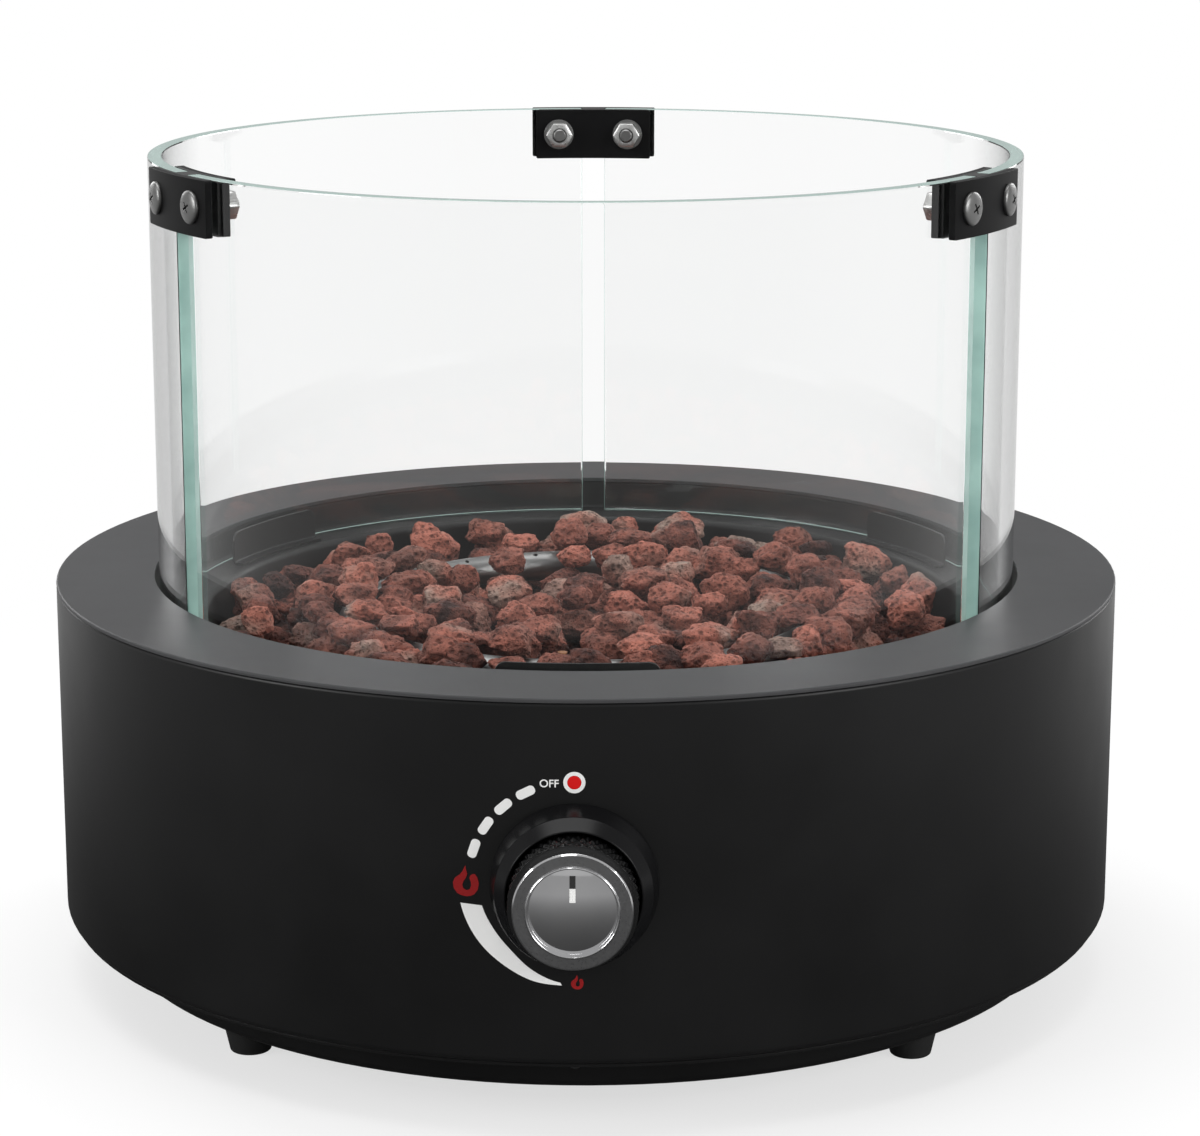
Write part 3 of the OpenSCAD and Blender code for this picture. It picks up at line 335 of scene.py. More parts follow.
coated, given, gives = new_group("coated", {
    "Paint": (0.02, 0.02, 0.02, 1), "Sheen": 0.4, "Grain": 1500.0, "Drift": 0.12,
}, ["Color", "Roughness", "Height"])
tree = coated
peel = clouds(tree, given["Grain"])
swing = spread(tree, clouds(tree, DRIFT_SCALE, 3.0), 0.3, 0.7, -1.0, 1.0)
swing = times(tree, swing, given["Drift"])
swing = value_of(tree, "ADD", swing, 1.0)
shade = add(tree, "VectorMath", {0: given["Paint"], "Scale": swing}, operation="SCALE").outputs[0]
sheen = times(tree, given["Sheen"], swing)
set_sockets(tree, gives, {"Color": shade, "Roughness": sheen, "Height": peel})
print("group", tree.name)

# %% [markdown]
# Rolled, drawn and turned metal all carry fine lines left by the tool. Noise that is stretched
# along one direction makes them: short steps across the lines, long ones along them. The group
# takes the three steps as a vector, so that one group serves tubes, sheet and screw heads.

# %% Group: metal with fine tool lines
STAIN_SCALE, STAIN_DARK, STAIN_LIGHT = 30.0, 0.86, 1.06

tool_lines, given, gives = new_group("tool_lines", {
    "Metal": (0.5, 0.5, 0.5, 1), "Sheen": 0.3, "Steps": (40.0, 40.0, 2500.0),
}, ["Color", "Roughness", "Height"])
tree = tool_lines
stretched = add(tree, "VectorMath", {0: place(tree), 1: given["Steps"]}, operation="MULTIPLY").outputs[0]
lines = clouds(tree, 1.0, 3.0, stretched)
stain = spread(tree, clouds(tree, STAIN_SCALE, 4.0), 0.3, 0.7, STAIN_DARK, STAIN_LIGHT)
shade = add(tree, "VectorMath", {0: given["Metal"], "Scale": stain}, operation="SCALE").outputs[0]
sheen = times(tree, given["Sheen"], spread(tree, lines, 0.25, 0.75, 0.75, 1.35))
set_sockets(tree, gives, {"Color": shade, "Roughness": sheen, "Height": lines})
print("group", tree.name)

# %% [markdown]
# ## Finishes
# Each finish places the groups with its own numbers. A number that is the same all over goes
# straight on the shader: metal is fully metallic, and every coat has one gloss.

# %% Painted, moulded and metal finishes
METAL_EDGE = 0.3
finishes = {}


def bump(tree, shader, height, depth, normal=None):
    """A relief of that depth in millimetres, on top of the rounded edges."""
    sockets = {"Height": height, "Strength": 1.0, "Distance": depth * MM}
    if normal:
        sockets["Normal"] = normal
    tree.links.new(add(tree, "Bump", sockets).outputs[0], shader.inputs["Normal"])


def keep_finish(slot, made, skin, colour, depth, normal=None):
    """Joins a skin to the shader of a new material, and keeps the material under its slot's name."""
    material, tree, shader = made
    set_sockets(tree, shader, {"Base Color": colour, "Roughness": skin["Roughness"]})
    bump(tree, shader, skin["Height"], depth, normal)
    finishes[slot] = material


def edged_finish(slot, group, plain, bright, worn, depth, edge, **values):
    """A skin from a group, whose edges are rounded and rubbed towards a brighter colour."""
    made = new_material(slot, plain)
    tree = made[1]
    skin = use_group(tree, group, **values)
    edges = use_group(tree, rounded_edges, radius=edge * MM)
    bright = [min(1, part) for part in bright]
    colour = mixed(tree, times(tree, edges["Mask"], worn), skin["Color"], (*bright, 1))
    keep_finish(slot, made, skin, colour, depth, edges["Normal"])


def coated_finish(slot, paint, sheen, grain=1500, depth=0.02, drift=0.12, edge=0.4, worn=0.35,
                  gloss=0.5):
    """Paint, plastic or rubber. Depth and edge are in millimetres."""
    edged_finish(slot, coated, {"Specular IOR Level": gloss}, [0.06 + 2.2 * part for part in paint],
                 worn, depth, edge, paint=(*paint, 1), sheen=sheen, grain=grain, drift=drift)


def metal_finish(slot, metal, sheen, steps, depth=0.004):
    """Bare metal with tool lines."""
    edged_finish(slot, tool_lines, {"Metallic": 1.0}, [1.25 * part for part in metal], 1.0, depth,
                 METAL_EDGE, metal=(*metal, 1), sheen=sheen, steps=steps)


coated_finish("black_powder_coat", (0.0065, 0.0065, 0.0067), 0.38, depth=0.012, worn=0.15, gloss=0.3)
coated_finish("ring_coat", (0.048, 0.048, 0.050), 0.45, depth=0.004, worn=0.15, gloss=0.15)
coated_finish("bowl_coat", (0.008, 0.008, 0.008), 0.5, 1100, depth=0.0005, worn=0.1, gloss=0.25)
coated_finish("clamp_coat", (0.008, 0.008, 0.0083), 0.42, depth=0.01, edge=0.5, worn=0.2, gloss=0.05)
coated_finish("black_plastic", (0.02, 0.02, 0.02), 0.45, 2400, depth=0.01, worn=0.1)
coated_finish("gloss_black", (0.006, 0.006, 0.0065), 0.24, 500, depth=0.001, worn=0, gloss=0.17)
coated_finish("knurled_black", (0.003, 0.003, 0.0032), 0.2, 2400, depth=0.002, edge=0.1, worn=0,
              gloss=0.8)
coated_finish("rubber_black", (0.012, 0.012, 0.012), 0.72, 1800, worn=0.1)
coated_finish("lead_insulation", (0.45, 0.05, 0.03), 0.5, 900, worn=0)
coated_finish("ceramic_white", (0.78, 0.74, 0.66), 0.3, 700, drift=0.05, worn=0)
metal_finish("stainless", (0.24, 0.24, 0.237), 0.36, (300, 300, 1500), depth=0.0008)
metal_finish("nut_steel", (0.68, 0.68, 0.67), 0.3, (300, 300, 1500), depth=0.0004)
metal_finish("galvanised", (0.42, 0.42, 0.42), 0.45, (400, 60, 400))
metal_finish("aluminium_tube", (0.62, 0.62, 0.62), 0.34, (900, 900, 60))
metal_finish("brass", (0.60, 0.43, 0.18), 0.3, (900, 60, 900))
metal_finish("copper_probe", (0.55, 0.27, 0.14), 0.35, (600, 600, 60))
metal_finish("die_cast", (0.38, 0.38, 0.38), 0.55, (700, 700, 700), depth=0.02)
metal_finish("chrome_cap", (0.88, 0.88, 0.89), 0.05, (1500, 1500, 1500), depth=0.0005)
metal_finish("turned_rim", (0.36, 0.36, 0.365), 0.32, (1500, 60, 1500), depth=0.002)
INKS = {"printed_white": (0.78, 0.78, 0.77), "printed_red": (0.62, 0.003, 0.003),
        "printed_flame": (0.25, 0.003, 0.004)}
for ink, colour in INKS.items():
    coated_finish(ink, colour, 0.5, depth=0.004, drift=0.05, edge=0.05, worn=0, gloss=0.2)
print(len(finishes), "finishes")

# %% [markdown]
# ## Lava rock
# Lava rock is frozen foam. Its colour runs from brick red to a burnt brown that is nearly black, and it
# is full of pores of two sizes. Voronoi cells give the pores: the distance to a cell's middle is small
# inside a pore, which makes it deeper, and the colour is darkened there as painted shade. Each stone
# also carries a tone of its own, stored on its points as an attribute, so that no two neighbours have
# the same colour.

# %% Group: porous rock
CLOUD_SCALE, CRUMB_SCALE, ASH_SCALE = 75.0, 900.0, 28.0
FINE_SHARE, FINE_STEPS = 0.55, 2.7

porous, given, gives = new_group("porous", {
    "Dark": (0.030, 0.011, 0.009, 1), "Light": (0.40, 0.140, 0.100, 1), "Ash": (0.32, 0.23, 0.19, 1),
    "Tone": 0.5, "Pores": 330.0,
}, ["Color", "Roughness", "Height"])
tree = porous
cloud = clouds(tree, CLOUD_SCALE, 6.0, Roughness=0.65)
crumbs = clouds(tree, CRUMB_SCALE, 3.0)
wide = add(tree, "TexVoronoi", {"Vector": place(tree), "Scale": given["Pores"]}).outputs["Distance"]
fine_scale = times(tree, given["Pores"], FINE_STEPS)
fine = add(tree, "TexVoronoi", {"Vector": place(tree), "Scale": fine_scale}).outputs["Distance"]
wide, fine = spread(tree, wide, 0.12, 0.42), spread(tree, fine, 0.1, 0.4)
fine = value_of(tree, "ADD", 1 - FINE_SHARE, times(tree, fine, FINE_SHARE))
open_part = times(tree, wide, fine)
amount = value_of(tree, "ADD", spread(tree, cloud, 0.32, 0.68, -0.38, 0.38), given["Tone"])
# Painted shade: inside the pores the colour runs towards the dark one.
amount = value_of(tree, "MULTIPLY", amount, spread(tree, open_part, 0, 1, 0.3, 1.0), clamp=True)
ashy = spread(tree, clouds(tree, ASH_SCALE, 4.0), 0.48, 0.62)
ashy = times(tree, ashy, spread(tree, given["Tone"], 0.4, 0.75))
colour = mixed(tree, amount, given["Dark"], mixed(tree, ashy, given["Light"], given["Ash"]))
relief = value_of(tree, "ADD", open_part, times(tree, crumbs, 0.5))
set_sockets(tree, gives, {"Color": colour, "Roughness": spread(tree, open_part, 0, 1, 0.98, 0.82),
                          "Height": relief})
print("group", tree.name)

# %% The lava finish
PORE_DEPTH = 1.2

made = new_material("lava_rock", {"Specular IOR Level": 0.25})
tone = add(made[1], "Attribute", attribute_name="tone").outputs["Fac"]
skin = use_group(made[1], porous, tone=tone)
keep_finish("lava_rock", made, skin, skin["Color"], PORE_DEPTH)
print(len(finishes), "finishes with the rock")

# %% [markdown]
# ## Tempered glass
# The panes are clear, but the light that travels along a pane leaves it at the edges, which look
# pale sea green. A renderer would need a great many bounces to find that light, so the edge faces
# have a finish of their own, which is greyer on top. Light that meets a pane at a slant crosses
# more glass and comes out greyer, which draws the two sides of the guard. In the clear part, rays
# that only carry light or shadow pass straight through, because glass that blocks them leaves the
# stones in the dark.

# %% Clear panes and their green edges
GLASS_IOR, SLANT_FROM = 1.46, 0.59
FACED_TINT, SLANT_TINT = (0.997, 1, 0.999, 1), (0.09, 0.10, 0.097, 1)
EDGE_DEEP, EDGE_PALE, EDGE_TOP = (0.41, 0.63, 0.58, 1), (0.56, 0.82, 0.75, 1), (0.42, 0.56, 0.52, 1)

clear_glass, tree, shader = new_material("clear_glass", {
    "Roughness": 0.0, "IOR": GLASS_IOR, "Transmission Weight": 1.0, "Specular IOR Level": 0.12})
slant = spread(tree, add(tree, "LayerWeight", {"Blend": 0.5}).outputs["Facing"], SLANT_FROM, 1.0)
depth = mixed(tree, slant, FACED_TINT, SLANT_TINT)
set_sockets(tree, shader, {"Base Color": depth})
rays = add(tree, "LightPath").outputs
carried = value_of(tree, "MAXIMUM", rays["Is Shadow Ray"], rays["Is Diffuse Ray"])
through = add(tree, "BsdfTransparent", {"Color": (0.985, 0.997, 0.992, 1)}).outputs[0]
blend = add(tree, "MixShader", {0: carried, 1: shader.outputs[0], 2: through}).outputs[0]
tree.links.new(blend, tree.nodes["Material Output"].inputs["Surface"])

glass_edge, tree, shader = new_material("glass_edge", {
    "Roughness": 0.18, "IOR": GLASS_IOR, "Transmission Weight": 0.25})
tint = mixed(tree, spread(tree, clouds(tree, 45.0, 3.0), 0.35, 0.65), EDGE_DEEP, EDGE_PALE)
upward = add(tree, "SeparateXYZ", {0: add(tree, "NewGeometry").outputs["Normal"]}).outputs["Z"]
set_sockets(tree, shader, {"Base Color": mixed(tree, spread(tree, upward, 0.3, 0.9), tint, EDGE_TOP)})
bump(tree, shader, clouds(tree, 2500.0), 0.01)
print("glass finishes ready")

# %% [markdown]
# ## Dress the pieces of the solid model
# Most pieces already have their right shape. Each takes the finish of its material slot, which the
# record names for it.

# %% Dress the nodes
for row in frame["record"]["subparts"]:
    if row["material_slot"] in finishes:
        mesh = frame["nodes"][row["node"]].data
        mesh.materials.clear()
        mesh.materials.append(finishes[row["material_slot"]])

# %% [markdown]
# ## Words for new pieces
# A new piece starts as a bmesh. It is smooth-shaded, with real edges kept sharp by their angle, and it
# rides on the body that carries it.

# %% Helpers for pieces
def new_piece(bm, name, materials, body, slot, *replaced, sharp=32):
    """The bmesh as a finished object in place."""
    mesh = mesh_from(bm, name)
    for material in materials:
        mesh.materials.append(material)
    mesh.shade_smooth()
    mesh.set_sharp_from_angle(angle=math.radians(sharp))
    piece = in_scene(name, mesh)
    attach(piece, body)
    if replaced:
        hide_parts(*replaced)
    print(f"{name}: {sum(len(face.vertices) - 2 for face in mesh.polygons)} triangles")
    return piece


def lathe(profile, steps, closed=False):
    """Spins a profile of (radius, height) points round Z."""
    bm = bmesh.new()
    points = [bm.verts.new((radius, 0, height)) for radius, height in profile]
    lines = [bm.edges.new(pair) for pair in zip(points, points[1:])]
    if closed:
        lines.append(bm.edges.new((points[-1], points[0])))
    bmesh.ops.spin(bm, geom=points + lines, axis=(0, 0, 1), cent=(0, 0, 0), angle=math.tau,
                   steps=steps, use_merge=True)
    bmesh.ops.remove_doubles(bm, verts=bm.verts, dist=0.001 * MM)
    bmesh.ops.recalc_face_normals(bm, faces=bm.faces)
    return bm


def soften(bm, width, angle=40):
    """Rounds every edge sharper than the angle."""
    sharp = [edge for edge in bm.edges
             if len(edge.link_faces) == 2 and edge.calc_face_angle() > math.radians(angle)]
    bmesh.ops.bevel(bm, geom=sharp, offset=width, segments=2, profile=0.5,
                    affect="EDGES", material=-1, clamp_overlap=True)


def extruded_points(bm):
    """The new points that come from extruding all faces in place."""
    made = bmesh.ops.extrude_face_region(bm, geom=bm.faces[:])["geom"]
    return [item for item in made if isinstance(item, bmesh.types.BMVert)]


def polar(away, degrees):
    """The flat point at a distance and an angle."""
    return away * math.cos(math.radians(degrees)), away * math.sin(math.radians(degrees))


def to_knob(bm):
    """Turns a shape made along Z to lie along the knob's axis, pointing at the camera."""
    bmesh.ops.rotate(bm, verts=bm.verts, matrix=Matrix.Rotation(math.radians(90), 3, "X"))
    bmesh.ops.translate(bm, verts=bm.verts, vec=(0, 0, KNOB_Z))


print("piece helpers ready")

# %% [markdown]
# ## Glass panes
# A pane is a rectangle, 6 mm thick, carried round the drum's axis by a spin. The narrow faces are
# marked with the edge finish before the arrises are bevelled, so that the tiny ground faces get it
# too: on a real pane it is exactly these that catch the light.

# %% Make the three panes
ARRIS = 0.7 * MM

for node, angle in PANES.items():
    bm = bmesh.new()
    corners = [(GLASS_R - GLASS_T, GLASS_LOW), (GLASS_R, GLASS_LOW),
               (GLASS_R, GLASS_TOP), (GLASS_R - GLASS_T, GLASS_TOP)]
    face = bm.faces.new([bm.verts.new((radius, 0, height)) for radius, height in corners])
    bmesh.ops.rotate(bm, verts=bm.verts,
                     matrix=Matrix.Rotation(math.radians(angle) - PANE_HALF_TURN, 3, "Z"))
    bmesh.ops.spin(bm, geom=[face, *face.edges, *face.verts], axis=(0, 0, 1), cent=(0, 0, 0),
                   angle=2 * PANE_HALF_TURN, steps=84)
    bmesh.ops.recalc_face_normals(bm, faces=bm.faces)
    for face in bm.faces:
        middle = face.calc_center_median()
        outward = Vector((middle.x, middle.y, 0)).normalized()
        face.material_index = int(abs(face.normal.dot(outward)) < 0.5)
    soften(bm, ARRIS)
    new_piece(bm, node + "_pane", [clear_glass, glass_edge], "glass_guard", "clear_glass", node,
              sharp=20)

# %% [markdown]
# ## Lava stones
# The solid model holds a simple lump for every stone. A few master stones are made here: a sphere
# of small triangles is cut by some random planes, which gives the broken faces of real rock, and
# then pushed in and out by noise. Every lump of the model gets one of them, turned at random and
# stretched to the lump's own size, so the stones lie exactly where the solids are.

# %% Master stones
STONE_SEED, MASTERS = 11, 14
BROKEN_FACES, FACE_NEAR, FACE_FAR = 11, 0.62, 0.9
LUMP_STEPS, LUMP_DEPTH = 1.6, 0.16
HOLLOW_STEPS, HOLLOW_DEPTH, PIT_STEPS, PIT_DEPTH = 4.2, 0.16, 10, 0.075


def master_stone(seed, fineness):
    """One lump of rock, two units across."""
    pick = random.Random(seed)
    away = Vector([pick.uniform(-50, 50) for _ in range(3)])
    cuts = [(Vector([pick.gauss(0, 1) for _ in range(3)]).normalized(),
             pick.uniform(FACE_NEAR, FACE_FAR)) for _ in range(BROKEN_FACES)]
    bm = bmesh.new()
    bmesh.ops.create_icosphere(bm, subdivisions=fineness, radius=1)
    for vert in bm.verts:
        out = vert.co.normalized()
        reach = min([1.0] + [far / out.dot(side) for side, far in cuts if out.dot(side) > 0.1])
        reach *= 1 + LUMP_DEPTH * noise.fractal(out * LUMP_STEPS + away, 0.9, 2.1, 4)
        hollow = noise.voronoi(out * HOLLOW_STEPS + away)[0][0]
        pit = noise.voronoi(out * PIT_STEPS + away)[0][0]
        reach -= HOLLOW_DEPTH * max(0, 0.42 - hollow) + PIT_DEPTH * max(0, 0.4 - pit)
        vert.co = out * reach
    reach = max(vert.co.length for vert in bm.verts)
    bmesh.ops.scale(bm, verts=bm.verts, vec=Vector((1, 1, 1)) / reach)
    return mesh_from(bm, f"master_stone_{seed}")


large_stones = [master_stone(STONE_SEED + i, 5) for i in range(MASTERS)]
small_stones = [master_stone(STONE_SEED + i, 4) for i in range(MASTERS)]
print(len(large_stones), "masters of", len(large_stones[0].polygons), "triangles")


# %% Read where the stones lie
def separate_solids(node):
    """The separate solids of a CAD node, each as a list of its points."""
    bm = bmesh.new()
    bm.from_mesh(frame["nodes"][node].data)
    bmesh.ops.remove_doubles(bm, verts=bm.verts, dist=0.001 * MM)
    found, left = [], set(bm.verts)
    while left:
        queue = [left.pop()]
        points = []
        while queue:
            vert = queue.pop()
            points.append(vert.co.copy())
            for edge in vert.link_edges:
                other = edge.other_vert(vert)
                if other in left:
                    left.remove(other)
                    queue.append(other)
        found.append(sorted(points, key=lambda point: point[:]))
    bm.free()
    return sorted(found, key=lambda points: points[0][:])


stone_boxes = [[Vector([*map(end, *points)]) for end in (min, max)]
               for points in separate_solids("lava_stones")]
widest = max((high - low).x for low, high in stone_boxes)
print(f"{len(stone_boxes)} stones, the largest {1000 * widest:.0f} mm across")


# %% Lay the stones
STONES_PER_PIECE = 36
STONE_LEAN = 0.5
DARKEST_TONE = 0.12


def lay_stones(name, places, masters, pick, *replaced):
    """One piece of many stones. A place is a middle point and half sizes."""
    heap = bmesh.new()
    tone = heap.verts.layers.float.new("tone")
    for middle, half in places:
        stone = pick.choice(masters).copy()
        turn = Matrix.Rotation(pick.uniform(0, math.tau), 4, "Z") @ Matrix.Rotation(
            pick.uniform(-STONE_LEAN, STONE_LEAN), 4, "X")
        stone.transform(Matrix.LocRotScale(middle, None, half) @ turn)
        start = len(heap.verts)
        heap.from_mesh(stone)
        bpy.data.meshes.remove(stone)
        heap.verts.ensure_lookup_table()
        shade = pick.uniform(DARKEST_TONE, 1.0)
        for vert in heap.verts[start:]:
            vert[tone] = shade
    return new_piece(heap, name, [finishes["lava_rock"]], "drum", "lava_rock", *replaced, sharp=70)


def lay_in_pieces(name, places, pick, *replaced):
    """Large stones, shared out over numbered pieces of one size."""
    for number, start in enumerate(range(0, len(places), STONES_PER_PIECE), 1):
        lay_stones(f"{name}_{number}", places[start:start + STONES_PER_PIECE], large_stones, pick,
                   *replaced)


# A stone's points lie inside its own box, so it is made a little larger than half the box.
big_places = [((low + high) / 2, (high - low) * 0.56) for low, high in stone_boxes]
lay_in_pieces("stones", big_places, random.Random(STONE_SEED), "lava_stones")

# %% [markdown]
# ## The gravel below
# Between the large stones lies smaller rubble. The solid bed under them is flat, so its top is made
# again from a finely divided disc whose points are moved up and down by noise, and a scatter of
# small stones is pressed into it.

# %% The buried layer
BED_LOW, BED_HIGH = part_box("lava_bed")
BED_R = BED_HIGH.x
RINGS = 70
LUMP_H, GRIT_H = 5 * MM, 2 * MM

rim = [(BED_R, BED_LOW.z), (BED_R, BED_HIGH.z)]
top_line = [(BED_R * (1 - i / RINGS), BED_HIGH.z) for i in range(1, RINGS + 1)]
bed = lathe([(0, BED_LOW.z), *rim, *top_line], steps=210)
tone = bed.verts.layers.float.new("tone")
for vert in bed.verts:
    vert[tone] = DARKEST_TONE
    if vert.co.z > BED_HIGH.z - MM:
        lump = noise.voronoi(vert.co * 70)[0][0]
        vert.co.z += LUMP_H * (0.75 - lump) + GRIT_H * noise.noise(vert.co * 190)
new_piece(bed, "gravel_bed", [finishes["lava_rock"]], "drum", "lava_rock", "lava_bed", sharp=70)

# %% The small stones
SMALL_STONES, SMALLEST, LARGEST_SMALL = 120, 5.5, 9

pick = random.Random(STONE_SEED + 1)
small_places = []
while len(small_places) < SMALL_STONES:
    away, turn = BED_R * 0.93 * math.sqrt(pick.random()), pick.uniform(0, math.tau)
    size = pick.uniform(SMALLEST, LARGEST_SMALL) * MM
    spot = Vector((away * math.cos(turn), away * math.sin(turn), BED_HIGH.z + 0.35 * size))
    small_places.append((spot, Vector((size, size * pick.uniform(0.75, 1), size * 0.8))))
lay_stones("small_stones", small_places, small_stones, pick)

# %% [markdown]
# Loose stones are heaped, so more of them lie in the hollows of the layer below. The first ones bank
# up on both sides of the burner ring and hide it, except for two bare stretches at the back. The
# others are dropped at random, one after another, and a place is kept only if it is far enough from
# the places before it, from the ring and from the pilot.

# %% The heaped stones
HEAPED_STONES, HEAP_TRIES = 112, 5000
HEAP_R, HEAP_Z = 150 * MM, 158 * MM
RING_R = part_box("burner_ring")[1].x * 0.94
BANKS = ((16.5 * MM, 8), (-16.5 * MM, 12))
BARE_STRETCHES = ((104, 143), (60, 72))
PILOT_ROOM, RING_ROOM = 14 * MM, 8 * MM
PILOT_SPOT = Vector((0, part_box("igniter_electrode")[0].y))

pick = random.Random(STONE_SEED + 2)
heaped = []


def lay_heaped(away, degrees, size):
    """A stone in the heap at a distance and an angle, unless it would cover the pilot."""
    spot = Vector((*polar(away, degrees), HEAP_Z - pick.uniform(0, 4) * MM))
    half = Vector((size, size * pick.uniform(0.75, 1), size * pick.uniform(0.65, 0.85)))
    if (spot.xy - PILOT_SPOT).length > PILOT_ROOM + size:
        heaped.append((spot, half))


for bank, step in BANKS:
    for degrees in range(0, 360, step):
        if not any(low < degrees < high for low, high in BARE_STRETCHES):
            lay_heaped(RING_R + bank, degrees + pick.uniform(-2, 2), pick.uniform(9, 13) * MM)
for _ in range(HEAP_TRIES):
    away, degrees = HEAP_R * math.sqrt(pick.random()), pick.uniform(0, 360)
    size = pick.uniform(8.5, 13.5) * MM
    spot = away * Vector(polar(1, degrees))
    free = all((spot - other.xy).length > 0.82 * (size + half.x) for other, half in heaped)
    if free and abs(away - RING_R) > RING_ROOM + size and len(heaped) < HEAPED_STONES:
        lay_heaped(away, degrees, size)
print(len(heaped), "heaped stones")
lay_in_pieces("heaped_stones", heaped, pick)

# %% [markdown]
# ## The knob
# The grip ends in front of the bezel's plate, with room to be pushed in, and a narrow hub runs on
# towards the valve. The grip is knurled: two sets of slanting grooves cross and leave small
# pyramids. A spin makes a finely divided drum, and each point is then moved in by the depth of the
# groove at its own angle and height. The two sets are two triangle waves, one leaning each way.

# %% The knurled grip
GRIP_FRONT, HUB_BACK = -GRIP_LOW.y, -GRIP_HIGH.y
GRIP_R, HUB_R = GRIP_HIGH.x, 8.0 * MM
RIDGES, RIDGE_LENGTH, RIDGE_DEPTH = 42, 6.0 * MM, 1.2 * MM
PLAIN_END, END_BEVEL = 0.6 * MM, 0.4 * MM
GRIP_ROWS, GRIP_COLUMNS = 56, 432

rim_points = [point for point in separate_solids("knob_grip")[0]
              if math.hypot(point.x, point.z - KNOB_Z) > 0.9 * GRIP_R]
GRIP_BACK = min(-point.y for point in rim_points)
depth_of = [GRIP_BACK + PLAIN_END + (GRIP_FRONT - GRIP_BACK - 2 * PLAIN_END) * i / GRIP_ROWS
            for i in range(GRIP_ROWS + 1)]
profile = [(0, HUB_BACK), (HUB_R, HUB_BACK), (HUB_R, GRIP_BACK), (GRIP_R - END_BEVEL, GRIP_BACK)]
profile += [(GRIP_R, height) for height in depth_of]
profile += [(GRIP_R - END_BEVEL, GRIP_FRONT), (0, GRIP_FRONT)]
grip = lathe(profile, steps=GRIP_COLUMNS)


def wave(turns):
    """A triangle wave: 0 on a crest, 1 in a groove."""
    return abs(2 * (turns % 1) - 1)


for vert in grip.verts:
    radius = math.hypot(vert.co.x, vert.co.y)
    if radius > GRIP_R - 0.01 * MM:
        around = RIDGES * math.atan2(vert.co.y, vert.co.x) / math.tau
        along = (vert.co.z - GRIP_BACK) / RIDGE_LENGTH
        depth = max(wave(around + along), wave(around - along))
        shrink = 1 - RIDGE_DEPTH * depth / radius
        vert.co.x, vert.co.y = vert.co.x * shrink, vert.co.y * shrink
to_knob(grip)
print(f"the grip reaches from {1000 * GRIP_BACK:.1f} to {1000 * GRIP_FRONT:.1f} mm")
new_piece(grip, "knurled_grip", [finishes["knurled_black"]], "knob", "knurled_black", "knob_grip",
          sharp=50)

# %% [markdown]
# The cap is one turned and polished piece: a bevelled outer edge, a flat rim with fine turning
# lines, a raised ring, and a mirror sunk inside the ring. Only the profile matters, and the lathe
# does the rest. The mirror bulges by a hair, so it gathers the pale room above and the dark floor.

# %% The bright cap
CAP_BACK, CAP_FRONT = -CAP_HIGH.y, -CAP_LOW.y
CAP_R = CAP_HIGH.x
RING_OUT, RING_IN, MIRROR_R = 17.5 * MM, 16.7 * MM, 16.3 * MM
MIRROR_BULGE, RIM_BACK = 1.5 * MM, 0.9 * MM


def mirror_height(radius):
    """How far forward the mirror's surface lies at that radius."""
    return CAP_FRONT - RIM_BACK - MIRROR_BULGE * (radius / MIRROR_R) ** 2


profile = [(0, CAP_BACK), (CAP_R - 0.3 * MM, CAP_BACK), (CAP_R, CAP_BACK + 0.3 * MM),
           (CAP_R, CAP_FRONT - 1.5 * MM), (CAP_R - 0.55 * MM, CAP_FRONT - RIM_BACK),
           (RING_OUT, CAP_FRONT - RIM_BACK), (RING_OUT - 0.15 * MM, CAP_FRONT - 0.2 * MM),
           (RING_OUT - 0.35 * MM, CAP_FRONT), (RING_IN + 0.15 * MM, CAP_FRONT),
           (RING_IN, CAP_FRONT - 0.15 * MM)]
profile += [(MIRROR_R * i / 16, mirror_height(MIRROR_R * i / 16)) for i in range(16, -1, -1)]
cap = lathe(profile, steps=128)
for face in cap.faces:
    flat = face.normal.z > 0.99
    face.material_index = int(flat and RING_OUT < face.calc_center_median().xy.length)
to_knob(cap)
new_piece(cap, "bright_cap", [finishes["chrome_cap"], finishes["turned_rim"]], "knob", "chrome_cap",
          "knob_cap", sharp=25)

# %% [markdown]
# A short line on the mirror shows how far the knob is turned: a white strip below, and above it a dark
# strip that is painted shade, standing for the shade inside the line's recess. Each strip is divided
# along its length, and each of its points is set on the mirror's curve.

# %% The pointer line
POINTER_HALF_W, PAINT_UNDER, PAINT_OVER = 1.1 * MM, -0.25 * MM, 0.07 * MM


def pointer(name, low, high, finish, slot):
    """A painted strip on the mirror from one height above the knob's middle to another."""
    bm = bmesh.new()
    bmesh.ops.create_grid(bm, x_segments=3, y_segments=10, size=1)
    bmesh.ops.scale(bm, verts=bm.verts, vec=(POINTER_HALF_W, (high - low) / 2, 1))
    bmesh.ops.translate(bm, verts=bm.verts, vec=(0, (low + high) / 2, 0))
    under = extruded_points(bm)
    for vert in bm.verts:
        vert.co.z = mirror_height(vert.co.xy.length) + (PAINT_UNDER if vert in under else PAINT_OVER)
    bmesh.ops.recalc_face_normals(bm, faces=bm.faces)
    to_knob(bm)
    new_piece(bm, name, [finishes[finish]], "knob", slot)


pointer("pointer_white", 3.8 * MM, 9.0 * MM, "printed_white", "ceramic_white")
# Painted shade: the dark upper strip stands for the shade inside the pointer's recess.
pointer("pointer_recess_shade", 9.0 * MM, 13.7 * MM, "black_plastic", "black_plastic")

# %% [markdown]
# ## The printed dial
# The marks round the knob are printed on the drum's curved wall. Each is drawn flat, as a filled
# curve a tenth of a millimetre thick, made a mesh, cut into narrow strips, and then wrapped round
# the drum: what was a distance to the right becomes an angle. Without the strips the long marks
# would cut through the wall as flat chords do.

# %% Helpers for printing
INK_BACK, INK_FRONT = 0.02 * MM, 0.10 * MM
STRIP = 1.5 * MM


